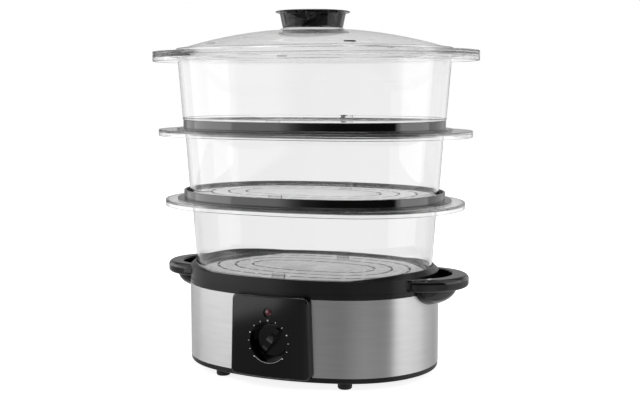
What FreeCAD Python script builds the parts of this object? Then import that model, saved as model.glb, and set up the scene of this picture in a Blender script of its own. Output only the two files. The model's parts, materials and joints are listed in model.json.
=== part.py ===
"""Electric food steamer: three nesting oval baskets on a water base with a timer.

Millimetres. +Z is up, +X is to the right and the control panel faces -Y.
The origin lies on the worktop, under the middle of the base.
"""
import FreeCAD, Part
import math
import os
from collections import namedtuple

V = FreeCAD.Vector
X_AXIS, Y_AXIS, Z_AXIS = V(1, 0, 0), V(0, 1, 0), V(0, 0, 1)
PAST = 1.0                      # how far a cutter runs past the face that it cuts
SAME = 1e-4                     # heights nearer than this are one level

# ---------------------------------------------------------------- driving sizes
# The outline family: every level is an oval of two end arcs and two side arcs,
# given by half length, half depth and the radius of its end arcs.
Oval = namedtuple("Oval", "half_length half_depth end_radius")
BASE = Oval(131.0, 97.5, 91.0)
RING = Oval(136.7, 101.9, 96.0)
OVAL_WAIST = 34.8               # half length less half depth, on the baskets
OVAL_CORNER = 6.0               # half depth less end radius, on the baskets

# Running and seating clearances
FIT = 0.2                       # between fixed pieces that are slid together
LOOSE = 0.6                     # around pieces that are lifted out by hand
SHAFT_FIT = 0.05                # radial, shaft in its bearing
SEAT_GAP = 0.3                  # between pieces that pass near each other

# Feet
FOOT_HEIGHT = 7.3
FOOT_RADIUS = 7.0
FOOT_STEM_RADIUS = 3.0
FOOT_HEAD_RADIUS = 4.4
FOOT_HEAD_HEIGHT = 2.0
FOOT_BARB = 0.6                 # how much the head narrows towards its top
FOOT_EASE, FOOT_EASE_HEIGHT = 1.2, 2.0  # rounded lower edge of a foot
FOOT_EASE_MIDDLE = 0.8          # height of that edge's middle point
FOOT_X, FOOT_Y = 66.0, 73.0

# Bottom cover
COVER_FLOOR = 2.5
COVER_EDGE_HEIGHT = 5.3         # the black edge seen under the steel
COVER_WALL = 2.2
COVER_WALL_HEIGHT = 11.0        # of the wall that stands inside the steel band
COVER_SETBACK = 0.3
COVER_ROUND = 1.6
COVER_BOSS_WALL = 2.0
COVER_SCREW_SINK = 1.0          # head of a cover screw above the cover's underside
VENT_WIDTH, VENT_LENGTH, VENT_PITCH, VENT_COUNT = 3.0, 46.0, 8.0, 5

# Steel band
BAND_THICKNESS = 0.8
BAND_HEIGHT = 75.0

# Base shell: the rim and the outer wall that carries the steel band, in one moulding
SHELL_WALL = 2.5
SHELF, SHELF_REACH = 2.0, 3.5   # inner shelf under the reservoir's flange
RIM_HEIGHT = 17.4               # outer wall of the rim
RIM_GROOVE_DROP = 11.8          # groove below the rim's outer edge
RIM_GROOVE_WIDTH, RIM_GROOVE_DEPTH = 0.8, 0.6
RIM_WIDTH = 6.0
RIM_SHOULDER_RISE = 4.8         # of the splash ridge at the two ends
RIM_FRONT_RISE = 0.8            # of the same ridge along the front and back
RIDGE_FLAT, RIDGE_FULL = 72.0, 114.0    # where along X the ridge starts and is full
RIDGE_LEAN = 0.7                # the ridge's top is a little wider than its foot

# Reservoir: a tub that hangs in the shell by its flange
TUB_WALL = 2.5
LEDGE_DROP = 6.5                # the flange's top below the rim's outer edge
LEDGE_WIDTH = 8.0
TUB_FLOOR_Z = 36.0

# Timer pocket in the front of the reservoir
POCKET_HALF_WIDTH = 35.0
POCKET_BACK_Y = -51.0
POCKET_TOP_Z = 75.0

# Filler handles
HANDLE_DROP = 0.4               # top of the handle below the rim's outer edge
HANDLE_HEIGHT = 12.0
HANDLE_CENTRE_X = 118.0
HANDLE_RADIUS = 46.4
HANDLE_HOLE_X, HANDLE_HOLE_Y = 29.5, 34.0
HANDLE_ROUND = 4.6
HANDLE_ROUND_BELOW = 3.2
SCOOP_CENTRE_X = 128.0
SCOOP_X, SCOOP_Y, SCOOP_DEPTH = 24.5, 35.8, 17.6
SCOOP_WALL = 2.2
TONGUE_WIDTH, TONGUE_HEIGHT, TONGUE_REACH = 6.0, 5.0, 5.0
TONGUE_Y = 40.0
TONGUE_ROOT = 4.0               # the tongue's length inside the handle

# Control panel
PANEL_PROUD = 8.3
PANEL_TOP_HALF, PANEL_BOTTOM_HALF = 40.0, 42.6
PANEL_BOTTOM_Z, PANEL_TOP_Z = 10.8, 90.4
PANEL_CORNER = 6.0
PANEL_EDGE_ROUND = 2.4
PANEL_SKIN = 2.4
PANEL_LEAST_ROUND = 1.0
PANEL_WINDOW_HALF = 33.0
PANEL_WINDOW_BOTTOM, PANEL_WINDOW_TOP = 20.0, 82.0
DIAL_Z = 45.9
WELL_RADIUS = 19.4
WELL_DEPTH = 13.4
LENS_Z = 74.2
LENS_RADIUS = 3.5
LENS_RECESS_RADIUS, LENS_RECESS_DEPTH = 4.8, 1.4
LENS_TUBE_WALL = 1.2
LENS_LENGTH = 11.0
LENS_DOME_RADIUS, LENS_PROUD = 5.6, 0.2
LENS_FRONT = 2.0                # solid front of the lens, before the lamp's bore
NEON_RADIUS, NEON_LENGTH, NEON_TIP = 2.2, 9.0, 1.8
NEON_LEG_RADIUS, NEON_LEG_X, NEON_LEG_LENGTH = 0.4, 1.0, 5.0
PANEL_SCREW_LOW, PANEL_SCREW_HIGH = 30.0, 77.0
PANEL_BOSS_INSET = 2.0           # from a screw boss to the side of the panel's narrow end
PANEL_SCREW_BITE = 4.6          # thread length in the panel's boss
PANEL_BOSS_GAP = 0.1            # between the bosses and the curved band
PANEL_PILOT_DEPTH = 5.0

# Timer, its shaft and its knob
KNOB_RADIUS = 16.2
KNOB_FACE_DEPTH = 10.0          # knob disc behind the panel's face
KNOB_DISC = 3.0
KNOB_GRIP_PROUD = 8.6
KNOB_GRIP_WIDTH = 7.0
KNOB_GRIP_TIP_WIDTH = 3.6
KNOB_POINTER_TURN = 34.0        # clockwise from twelve o'clock, seen from the front
KNOB_BOSS_RADIUS = 5.4
KNOB_BOSS_ROOM = 0.7            # around the boss where it passes the well's floor
KNOB_EDGE_ROUND = 1.0
KNOB_GRIP_SHORT = 0.4           # ends of the grip inside the disc's edge
KNOB_CROWN = 1.5                # radius of the grip's arched top, as a share of the disc's
KNOB_HEEL = 3.2                 # least height of the grip, at its two ends
KNOB_LINE_WIDTH, KNOB_LINE_DEPTH, KNOB_LINE_START, KNOB_LINE_SHORT = 1.2, 0.8, 5.0, 1.0
SHAFT_RADIUS = 3.0
SHAFT_FLAT = 1.1
SHAFT_DEPTH = 14.0              # of the bearing in the timer
SHAFT_IN_GRIP = 3.0             # how far the shaft reaches into the knob's grip
TIMER_WIDTH, TIMER_HEIGHT, TIMER_DEPTH = 52.0, 48.0, 24.0
TIMER_CORNER = 3.0
TIMER_SEAM, TIMER_SEAM_DEPTH = 0.8, 0.8
TIMER_SCREW_X = 13.0
TIMER_SCREW_HEAD, TIMER_SCREW_SINK = 1.2, 0.1
TIMER_SCREW_BITE, TIMER_PILOT_DEPTH = 7.5, 8.0
LUG_X, LUG_RISE = 14.0, 4.0
LUG_WIDTH, LUG_LENGTH, LUG_THICK = 6.0, 5.0, 0.8
BELL_RADIUS, BELL_HEIGHT, BELL_WALL = 17.0, 6.0, 1.0
BELL_RISE = 6.0                 # bell's middle above the shaft
BELL_PIN_RADIUS, BELL_HUB_RADIUS, BELL_EDGE_GAP = 1.2, 3.0, 0.8
BELL_FLAT_INSIDE, BELL_FLAT_OUTSIDE = 11.9, 12.9    # radii where the flat top bends down

# Heater under the reservoir
HEATER_Y = 12.0
HEATER_HOLE_RADIUS = 36.0
HEATER_PLATE_RADIUS = 42.0
HEATER_PLATE = 2.0
HEATER_DISH_RISE, HEATER_DISH_DROP = 3.4, 1.2   # of the plate's bead, and of its middle
HEATER_BEAD, HEATER_BEAD_OUTSIDE, HEATER_BEAD_INSIDE = 2.4, 1.6, 2.0  # flat top and its two slopes
GASKET = 2.0
CLAMP_RADIUS, CLAMP = 54.0, 1.5
CLAMP_SCREW_CIRCLE = 49.0
CLAMP_SCREW_COUNT = 4
BOSS_RADIUS = 4.0
ELEMENT_CIRCLE, ELEMENT_RADIUS = 26.0, 3.3
ELEMENT_GAP_ANGLE = 50.0
ELEMENT_TAIL, ELEMENT_SHEATH_TAIL, ELEMENT_PIN_RADIUS = 9.0, 5.4, 1.2
CLAMP_OVERLAP = 4.0             # how far the clamp lies under the plate's edge
CLAMP_PILOT_DEPTH, CLAMP_SCREW_BITE = 3.0, 2.8
THERMOSTAT_RADIUS, THERMOSTAT_HEIGHT = 8.0, 9.0
THERMOSTAT_COLLAR, THERMOSTAT_STEP = 3.0, 1.0
BLADE_THICK, BLADE_WIDTH, BLADE_LENGTH, BLADE_X = 0.8, 4.0, 4.0, 4.0
FUSE_RADIUS, FUSE_LENGTH = 2.0, 12.0
FUSE_LEG_RADIUS, FUSE_LEG, FUSE_GAP = 0.5, 3.0, 4.0

# Steam sleeve that stands in the reservoir around the heater
SLEEVE_RADIUS, SLEEVE_TOP_RADIUS, SLEEVE_WALL = 50.0, 30.0, 2.0
SLEEVE_HEIGHT = 42.0
SLEEVE_SKIRT = 14.0              # straight part at the bottom of the sleeve
SLEEVE_NOTCH_RADIUS, SLEEVE_NOTCHES = 5.0, 6

# Drip tray
TRAY_PLATE = 2.0
TRAY_WELL_DEPTH = 11.0
TRAY_WELL_INSET = 17.0
CHIMNEY_RADIUS, CHIMNEY_WALL = 27.0, 2.0
CHIMNEY_HEAD_GAP = 1.2          # chimney head below the tray's flange
CHIMNEY_SLOTS = 8
CHIMNEY_SLOT_WIDTH, CHIMNEY_SLOT_START, CHIMNEY_SLOT_SHORT = 4.4, 9.0, 3.0
CHIMNEY_ROUND = 2.0
TRAY_WELL_DRAFT = 1.0

# Baskets: three sizes that nest, numbered from the bottom
BASKET_HEIGHTS = (73.1, 67.8, 70.7)
BASKET_WALL = 2.2
BASKET_LEDGE, BASKET_LEDGE_WIDTH = 1.6, 7.0
BASKET_BOTTOM_HALF = (123.8, 130.3, 136.7)
BASKET_TOP_HALF = (128.6, 135.1, 142.2)
FLANGE_HALF_LENGTH = (157.0, 164.0, 170.0)
FLANGE_HALF_DEPTH = (111.0, 112.5, 114.0)
FLANGE_CORNER = 4.0             # half depth less end radius, on the flanges
FLANGE_HEIGHT = 6.4
FLANGE_PLATE, FLANGE_SKIRT = 2.4, 2.0
FLANGE_ROUND = 1.3
TOP_BASKET_FOOT = 5.0           # height of the step that sits in the upper ring

# Floor plates
PLATE = 2.0
PLATE_SLOT_WIDTH = 2.4
PLATE_SLOT_INSETS = (19.0, 37.0, 55.0)
PLATE_SLOT_PITCH, PLATE_SLOT_BRIDGE = 18.6, 3.6
PLATE_BEAD = 1.0
PLATE_BEAD_INSET, PLATE_BEAD_RISE = 2.0, 0.6
PLATE_TAB_WIDTH, PLATE_TAB_HEIGHT, PLATE_TAB_THICK = 13.4, 4.6, 2.0
PLATE_TAB_INSET = 5.0

# Stacking rings
RING_HEIGHT = 9.6
RING_WALL = 2.2
RING_LIP, RING_LIP_REACH = 1.6, 6.9
RING_SHELF = 3.4
RING_SKIRT, RING_SKIRT_DEPTH = 1.8, 5.0

# Lid and its knob
LID_PLATE = 3.4
LID_STEP_HALF, LID_STEP_HEIGHT = 144.0, 3.3
LID_DOME_HALF = 137.5
LID_RISE = 19.5
LID_POWER = 2.1                 # how the dome falls away from its middle
LID_WALL = 2.4
LID_SKIRT, LID_SKIRT_DEPTH = 1.8, 5.5
LID_SEAT_RADIUS, LID_SEAT_FLARE, LID_SEAT_HEIGHT = 30.0, 36.5, 7.2
LID_VENT_X, LID_VENT_Y = 73.0, 80.0
LID_VENT_LENGTH, LID_VENT_WIDTH, LID_VENT_TURN = 11.0, 2.6, 22.0
LID_DOME_SHARES = (1.0, 0.85, 0.68, 0.5, 0.3)
LID_SEAT_RISE = 0.9             # the knob's seat above the top of the dome
LID_SEAT_WALL_TOP, LID_SEAT_WALL_FOOT = 1.4, 2.0
GRIP_BASE_RADIUS, GRIP_TOP_RADIUS, GRIP_BRIM_RADIUS = 30.5, 33.3, 37.8
GRIP_HEIGHT, GRIP_BRIM, GRIP_CROWN = 14.8, 1.4, 1.6
GRIP_WALL = 2.6
GRIP_BOSS_RADIUS = 6.0
GRIP_SKIRT_GAP = 0.5
GRIP_EASE = 0.6                 # eased edges of the brim and its underside
GRIP_BRIM_LOW, GRIP_BRIM_HIGH = 0.5, 1.0    # heights of the brim's rounded edge
GRIP_CROWN_POINTS = ((27.2, 0.8), (13.6, 0.3))  # radius on the crown, and the drop there

# Fasteners
SCREW_RADIUS = 1.5
SCREW_HEAD_RADIUS, SCREW_HEAD = 3.0, 2.2
SCREW_SEAT_GAP = 0.05           # flat head against the curved band
SCREW_RECESS, SCREW_RECESS_DEPTH = 0.35, 0.5    # as shares of the head's radius and height
LID_SCREW_RADIUS, LID_SCREW_LENGTH, LID_SCREW_HEAD_RADIUS = 2.0, 13.0, 3.8
LID_WASHER_RADIUS, LID_WASHER = 9.0, 1.5
COVER_SCREW_X, COVER_SCREW_Y = 88.0, 38.0
COVER_BOSS_HEIGHT = 4.0
COVER_SCREW_SHORT = 6.0         # end of a cover screw below the reservoir's underside
COVER_PILOT_SHORT = 4.0         # end of its pilot hole

# Supply inlet at the back
GLAND_X, GLAND_Z = 62.0, 24.0
GLAND_RADIUS, GLAND_FLANGE_RADIUS, GLAND_BORE = 6.5, 9.0, 3.6
GLAND_FLANGE, GLAND_LENGTH = 2.0, 9.0
GLAND_TAIL = 6.0                # outside the base's face
GLAND_FLANGE_GAP = 0.5
GLAND_GROOVES = 2
GLAND_GROOVE, GLAND_GROOVE_DEPTH, GLAND_GROOVE_PITCH = 0.8, 0.8, 1.6
BLOCK_WIDTH, BLOCK_DEPTH, BLOCK_HEIGHT = 26.0, 15.0, 12.0
BLOCK_X, BLOCK_BEHIND = 33.0, 3.0
BLOCK_WAYS = 3
BLOCK_WAY_HOLE, BLOCK_WAY_Z = 1.6, 5.0
BLOCK_SCREW_HOLE, BLOCK_SCREW_DEPTH = 2.0, 3.0
LEAD_RADIUS = 1.1
LEAD_SETBACK = 8.0              # how far a lead runs straight out of the terminal block
LEAD_CLEAR = 6.0                # leads outside the heater's clamp

# ---------------------------------------------------------------- levels worked out
COVER_Z = FOOT_HEIGHT
BAND_Z = COVER_Z + COVER_EDGE_HEIGHT
RIM_Z = BAND_Z + BAND_HEIGHT
RIM_TOP_Z = RIM_Z + RIM_HEIGHT
RIDGE_TOP_Z = RIM_TOP_Z + RIM_SHOULDER_RISE
LEDGE_Z = RIM_TOP_Z - LEDGE_DROP
FLANGE_SEAT_Z = LEDGE_Z - TUB_WALL
PANEL_SCREW_X = PANEL_TOP_HALF - PANEL_BOSS_INSET - BOSS_RADIUS
HANDLE_TOP_Z = RIM_TOP_Z - HANDLE_DROP
HANDLE_LOW_Z = HANDLE_TOP_Z - HANDLE_HEIGHT
TRAY_Z = LEDGE_Z
STACK_Z = TRAY_Z + TRAY_PLATE           # the first basket stands here
RING_1_Z = STACK_Z + BASKET_HEIGHTS[0]
RING_2_Z = RING_1_Z + RING_SHELF + BASKET_HEIGHTS[1]
BASKET_Z = (STACK_Z, RING_1_Z + RING_SHELF, RING_2_Z + RING_HEIGHT - TOP_BASKET_FOOT)
LID_Z = BASKET_Z[2] + BASKET_HEIGHTS[2]
DOME_Z = LID_Z + LID_PLATE + LID_STEP_HEIGHT
DOME_TOP_Z = DOME_Z + LID_RISE
GRIP_Z = DOME_TOP_Z + LID_SEAT_RISE
PANEL_FACE_Y = -(BASE.half_depth + PANEL_PROUD)
WELL_FLOOR_Y = PANEL_FACE_Y + WELL_DEPTH
TIMER_Y = WELL_FLOOR_Y + PANEL_SKIN
KNOB_FACE_Y = PANEL_FACE_Y + KNOB_FACE_DEPTH
TUB_UNDER_Z = TUB_FLOOR_Z - TUB_WALL
PLATE_UNDER_Z = TUB_UNDER_Z - GASKET
BEHIND_BAND = BAND_THICKNESS + FIT      # the shell's outer face, inside the base's outline
BEHIND_SHELL = BEHIND_BAND + SHELL_WALL
BEHIND_COVER = BEHIND_SHELL + FIT       # the cover's wall slides into the shell
REACH = FLANGE_HALF_LENGTH[2] + 30.0    # cutters of this size pass the whole steamer


# ---------------------------------------------------------------- shape helpers
def grow(oval, by):
    """The parallel oval that lies this far outside, or inside where negative."""
    return Oval(oval.half_length + by, oval.half_depth + by, oval.end_radius + by)


def scaled(oval, share):
    return Oval(*(size * share for size in oval))


def basket_oval(half_length):
    half_depth = half_length - OVAL_WAIST
    return Oval(half_length, half_depth, half_depth - OVAL_CORNER)


def flange_oval(level):
    half_depth = FLANGE_HALF_DEPTH[level]
    return Oval(FLANGE_HALF_LENGTH[level], half_depth, half_depth - FLANGE_CORNER)


def side_radius(oval):
    length, depth, end = oval
    return ((length - end) ** 2 + depth ** 2 - end ** 2) / (2 * (depth - end))


def oval_wire(oval, z):
    """Four tangent arcs: the right end, the back, the left end and the front."""
    length, depth, end = oval
    side = side_radius(oval)
    turn = math.atan2(side - depth, length - end)
    x = length - end + end * math.cos(turn)
    y = end * math.sin(turn)
    corners = [V(x, -y, z), V(x, y, z), V(-x, y, z), V(-x, -y, z)]
    middles = [V(length, 0, z), V(0, depth, z), V(-length, 0, z), V(0, -depth, z)]
    arcs = []
    for index, middle in enumerate(middles):
        arcs.append(Part.Arc(corners[index], middle, corners[(index + 1) % 4]).toShape())
    return Part.Wire(arcs)


def slab(oval, low, high):
    return Part.Face(oval_wire(oval, low)).extrude(V(0, 0, high - low))


def hoop(outer, inner, low, high):
    return slab(outer, low, high).cut(slab(inner, low - PAST, high + PAST))


def taper(levels, smooth=False):
    """A solid through a list of (oval, height)."""
    return Part.makeLoft([oval_wire(oval, z) for oval, z in levels], True, not smooth)


def box(low, high):
    size = high - low
    return Part.makeBox(size.x, size.y, size.z, low)


def rod(radius, start, end):
    way = end - start
    return Part.makeCylinder(radius, way.Length, start, way)


def turned(outline, centre=V(0, 0, 0)):
    """Spin an outline of (radius, height) points about a vertical axis."""
    wire = Part.makePolygon([V(r, 0, z) for r, z in outline] + [V(outline[0][0], 0, outline[0][1])])
    shape = Part.Face(wire).revolve(V(0, 0, 0), Z_AXIS, 360)
    shape.translate(centre)
    return shape


def prism(points, way):
    """Extrude a closed flat outline of points along a vector."""
    return Part.Face(Part.makePolygon(points + [points[0]])).extrude(way)


def fused(shapes):
    whole = shapes[0]
    if len(shapes) > 1:
        whole = whole.multiFuse(shapes[1:])
    return whole.removeSplitter()


def group(shapes):
    return Part.makeCompound(shapes)


def mirrored(shape, normal):
    return shape.mirror(V(0, 0, 0), normal)


def rounded(shape, radius, wanted):
    """Fillet the edges for which wanted(edge) is true."""
    edges = [edge for edge in shape.Edges if wanted(edge)]
    return shape.makeFillet(radius, edges)


def level_edge(*heights):
    """Picks edges that lie flat at one of these heights."""
    def wanted(edge):
        box_of = edge.BoundBox
        return box_of.ZLength < SAME and any(abs(box_of.ZMin - z) < SAME for z in heights)
    return wanted


def front_angle(x):
    """Turn about the front side arc's centre that brings X 0 to this x."""
    return math.degrees(math.asin(x / side_radius(BASE)))


def on_front(shape, x):
    """Carry a piece made at X 0 round the front of the base to this x."""
    centre = V(0, side_radius(BASE) - BASE.half_depth, 0)
    copy = shape.copy()
    copy.rotate(centre, Z_AXIS, front_angle(x))
    return copy


def screw(head_at, way, length, radius=SCREW_RADIUS, head=SCREW_HEAD_RADIUS):
    """A pan-head screw: its head lies behind head_at and its shank runs along way."""
    way = V(way)
    way.normalize()
    shank = rod(radius, head_at, head_at + way * length)
    cap = rod(head, head_at - way * SCREW_HEAD, head_at)
    slot_low = head_at - way * (SCREW_HEAD + PAST)
    recess = rod(head * SCREW_RECESS, slot_low, head_at - way * (SCREW_HEAD * SCREW_RECESS_DEPTH))
    return shank.fuse(cap.cut(recess))


def oval_stations(oval, count):
    """Evenly spaced places round an oval, each with its outward turn in degrees."""
    wire = oval_wire(oval, 0)
    places = []
    for point in wire.discretize(Number=count + 1)[:-1]:
        end = oval.half_length - oval.end_radius
        side = side_radius(oval)
        turn = math.atan2(abs(point.y) + side - oval.half_depth, abs(point.x))
        limit = math.atan2(side - oval.half_depth, end)
        if turn < limit:
            turn = math.atan2(abs(point.y), abs(point.x) - end)
        outward = V(math.copysign(math.cos(turn), point.x), math.copysign(math.sin(turn), point.y), 0)
        places.append((point, math.degrees(math.atan2(outward.y, outward.x))))
    return places


# ---------------------------------------------------------------- base: feet and cover
def corners_of(x, y):
    return [V(side * x, end * y, 0) for side in (-1, 1) for end in (-1, 1)]


def rubber_feet():
    floor_top = COVER_Z + COVER_FLOOR
    outline = [(0, 0), (FOOT_RADIUS - FOOT_EASE, 0),
               (FOOT_RADIUS - FOOT_EASE / 4, FOOT_EASE_MIDDLE), (FOOT_RADIUS, FOOT_EASE_HEIGHT),
               (FOOT_RADIUS, COVER_Z), (FOOT_STEM_RADIUS, COVER_Z), (FOOT_STEM_RADIUS, floor_top),
               (FOOT_HEAD_RADIUS, floor_top), (FOOT_STEM_RADIUS - FOOT_BARB, floor_top + FOOT_HEAD_HEIGHT),
               (0, floor_top + FOOT_HEAD_HEIGHT)]
    return group([turned(outline, place) for place in corners_of(FOOT_X, FOOT_Y)])


def bottom_cover():
    floor_top = COVER_Z + COVER_FLOOR
    inner_outline = grow(BASE, -BEHIND_COVER)
    edge = slab(grow(BASE, -COVER_SETBACK), COVER_Z, BAND_Z)
    edge = rounded(edge, COVER_ROUND, level_edge(COVER_Z))
    wall = slab(inner_outline, BAND_Z - PAST, BAND_Z + COVER_WALL_HEIGHT)
    tray = fused([edge, wall])
    tray = tray.cut(slab(grow(inner_outline, -COVER_WALL), floor_top, BAND_Z + COVER_WALL_HEIGHT + PAST))
    boss_top = floor_top + COVER_BOSS_HEIGHT
    bosses = [rod(BOSS_RADIUS + COVER_BOSS_WALL, V(p.x, p.y, COVER_Z + PAST), V(p.x, p.y, boss_top))
              for p in corners_of(COVER_SCREW_X, COVER_SCREW_Y)]
    tray = fused([tray] + bosses)
    cutters = []
    for p in corners_of(FOOT_X, FOOT_Y):
        cutters.append(rod(FOOT_STEM_RADIUS + FIT, V(p.x, p.y, 0), V(p.x, p.y, floor_top + PAST)))
    for p in corners_of(COVER_SCREW_X, COVER_SCREW_Y):
        cutters.append(rod(SCREW_HEAD_RADIUS + FIT, V(p.x, p.y, 0), V(p.x, p.y, cover_screw_seat())))
        cutters.append(rod(SCREW_RADIUS + FIT, V(p.x, p.y, 0), V(p.x, p.y, boss_top + PAST)))
    for index in range(VENT_COUNT):
        y = HEATER_Y + (index - (VENT_COUNT - 1) / 2) * VENT_PITCH
        cutters.append(box(V(-VENT_LENGTH / 2, y - VENT_WIDTH / 2, 0),
                           V(VENT_LENGTH / 2, y + VENT_WIDTH / 2, floor_top + PAST)))
    cutters.append(gland_slot(GLAND_Z - GLAND_RADIUS - FIT, BAND_Z + COVER_WALL_HEIGHT + PAST))
    return cut_all(tray, cutters)


def cut_all(shape, cutters):
    for cutter in cutters:
        shape = shape.cut(cutter)
    return shape


def cover_screw_seat():
    return COVER_Z + SCREW_HEAD + COVER_SCREW_SINK


def base_screws():
    seat = cover_screw_seat()
    length = PLATE_UNDER_Z - COVER_SCREW_SHORT - seat
    places = corners_of(COVER_SCREW_X, COVER_SCREW_Y)
    return group([screw(V(p.x, p.y, seat), Z_AXIS, length) for p in places])


# ---------------------------------------------------------------- steel band
def scoop_body(shrink=0.0):
    """The filler's bowl on the right: the lower half of an ellipsoid."""
    ball = Part.makeSphere(1.0)
    shape = FreeCAD.Matrix()
    shape.scale(V(SCOOP_X - shrink, SCOOP_Y - shrink, SCOOP_DEPTH - shrink))
    ball = ball.transformGeometry(shape)
    ball.translate(V(SCOOP_CENTRE_X, 0, HANDLE_LOW_Z))
    below = box(V(0, -REACH, 0), V(REACH, REACH, HANDLE_LOW_Z))
    return ball.common(below)


def panel_window():
    """The opening behind the panel for the timer and the lamp."""
    return box(V(-PANEL_WINDOW_HALF, -REACH, PANEL_WINDOW_BOTTOM),
               V(PANEL_WINDOW_HALF, -BASE.half_depth / 2, PANEL_WINDOW_TOP))


def panel_screw_places():
    return [(x, z) for x in (-PANEL_SCREW_X, PANEL_SCREW_X) for z in (PANEL_SCREW_LOW, PANEL_SCREW_HIGH)]


def panel_screw_holes():
    """Clearance holes for the panel's screws, through the front of the band and the shell."""
    hole = rod(SCREW_RADIUS + FIT, V(0, -REACH, 0), V(0, -BASE.half_depth + BEHIND_SHELL + PAST, 0))
    return [at_panel_screw(hole, place) for place in panel_screw_places()]


def at_panel_screw(shape, place):
    copy = on_front(shape, place[0])
    copy.translate(V(0, 0, place[1]))
    return copy


def gland_hole():
    return gland_rod(GLAND_RADIUS + FIT, back_y(GLAND_X) - GLAND_LENGTH, REACH)


def gland_slot(low, high):
    """A square slot for the gland's neck, which the shell and the cover close on from above and below."""
    half = GLAND_RADIUS + FIT
    return box(V(GLAND_X - half, back_y(GLAND_X) - GLAND_LENGTH - 2 * PAST, low), V(GLAND_X + half, REACH, high))


def back_y(x):
    """The base's outer face at the back, at this x."""
    side = side_radius(BASE)
    return math.sqrt(side ** 2 - x ** 2) - (side - BASE.half_depth)


def steel_band():
    band = hoop(BASE, grow(BASE, -BAND_THICKNESS), BAND_Z, RIM_Z)
    return cut_all(band, scoop_notches() + [panel_window(), gland_hole()] + panel_screw_holes())


def scoop_notches():
    notch = scoop_body(-FIT)
    return [notch, mirrored(notch, X_AXIS)]


# ---------------------------------------------------------------- base shell
def rim_ridge():
    """The shoulder inside the rim: low along the sides, raised at the two ends."""
    foot = slab(BASE, RIM_TOP_Z - PAST, RIM_TOP_Z)
    peak = taper([(BASE, RIM_TOP_Z), (grow(BASE, RIDGE_LEAN - RIM_WIDTH), RIDGE_TOP_Z)])
    ridge = fused([foot, peak]).cut(slab(grow(BASE, -RIM_WIDTH), RIM_TOP_Z - 2 * PAST, RIDGE_TOP_Z + PAST))
    low = RIM_TOP_Z + RIM_FRONT_RISE
    rise = (RIDGE_TOP_Z - low) / (RIDGE_FULL - RIDGE_FLAT)
    outer_z = low + rise * (REACH - RIDGE_FLAT)
    outline = [V(-REACH, -REACH, outer_z + PAST), V(-REACH, -REACH, outer_z), V(-RIDGE_FLAT, -REACH, low),
               V(RIDGE_FLAT, -REACH, low), V(REACH, -REACH, outer_z), V(REACH, -REACH, outer_z + PAST)]
    return ridge.cut(prism(outline, V(0, 2 * REACH, 0)))


def base_shell():
    rim = slab(BASE, RIM_Z, RIM_TOP_Z)
    groove_z = RIM_TOP_Z - RIM_GROOVE_DROP
    groove = hoop(grow(BASE, PAST), grow(BASE, -RIM_GROOVE_DEPTH), groove_z - RIM_GROOVE_WIDTH, groove_z)
    wall = slab(grow(BASE, -BEHIND_BAND), BAND_Z, RIM_Z + PAST)
    shell = fused([rim.cut(groove), rim_ridge(), wall])
    cutters = [slab(grow(BASE, -RIM_WIDTH), FLANGE_SEAT_Z, RIDGE_TOP_Z + PAST),
               slab(grow(BASE, -RIM_WIDTH - SHELF_REACH), BAND_Z - PAST, FLANGE_SEAT_Z + PAST),
               slab(grow(BASE, -BEHIND_SHELL), BAND_Z - PAST, FLANGE_SEAT_Z - SHELF),
               panel_window(), gland_slot(BAND_Z - PAST, GLAND_Z + GLAND_RADIUS + FIT)]
    cutters += scoop_notches() + panel_screw_holes()
    for side in (-1, 1):
        slot = tongue(side, FIT / 2)
        cutters += [slot, mirrored(slot, X_AXIS)]
    return cut_all(shell, cutters)


# ---------------------------------------------------------------- reservoir
def tub_outline(inset):
    """The reservoir's plan, with the timer pocket taken out of its front."""
    wall = slab(grow(BASE, -RIM_WIDTH - LEDGE_WIDTH - inset), TUB_UNDER_Z - PAST, LEDGE_Z + 2 * PAST)
    pocket = box(V(-POCKET_HALF_WIDTH - inset, -REACH, 0),
                 V(POCKET_HALF_WIDTH + inset, POCKET_BACK_Y + inset, POCKET_TOP_Z + inset))
    return wall.cut(pocket)


def between(shape, low, high):
    return shape.common(box(V(-REACH, -REACH, low), V(REACH, REACH, high)))


def reservoir():
    tub = between(tub_outline(-TUB_WALL), TUB_UNDER_Z, LEDGE_Z)
    flange = hoop(grow(BASE, -RIM_WIDTH - FIT), grow(BASE, -RIM_WIDTH - LEDGE_WIDTH), FLANGE_SEAT_Z, LEDGE_Z)
    in_floor = TUB_FLOOR_Z - TUB_WALL / 2
    posts = []
    for p in corners_of(COVER_SCREW_X, COVER_SCREW_Y):
        low = COVER_Z + COVER_FLOOR + COVER_BOSS_HEIGHT
        posts.append(rod(BOSS_RADIUS, V(p.x, p.y, low), V(p.x, p.y, in_floor)))
    for p in clamp_screw_places():
        posts.append(rod(BOSS_RADIUS, V(p.x, p.y, PLATE_UNDER_Z), V(p.x, p.y, in_floor)))
    whole = fused([tub, flange] + posts)
    cutters = [between(tub_outline(0), TUB_FLOOR_Z, LEDGE_Z + PAST)]
    cutters.append(rod(HEATER_HOLE_RADIUS, V(0, HEATER_Y, 0), V(0, HEATER_Y, TUB_FLOOR_Z + PAST)))
    for p in corners_of(COVER_SCREW_X, COVER_SCREW_Y):
        cutters.append(rod(SCREW_RADIUS, V(p.x, p.y, 0), V(p.x, p.y, PLATE_UNDER_Z - COVER_PILOT_SHORT)))
    for p in clamp_screw_places():
        cutters.append(rod(SCREW_RADIUS, V(p.x, p.y, 0), V(p.x, p.y, PLATE_UNDER_Z + CLAMP_PILOT_DEPTH)))
    return cut_all(whole, cutters + scoop_notches())


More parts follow.
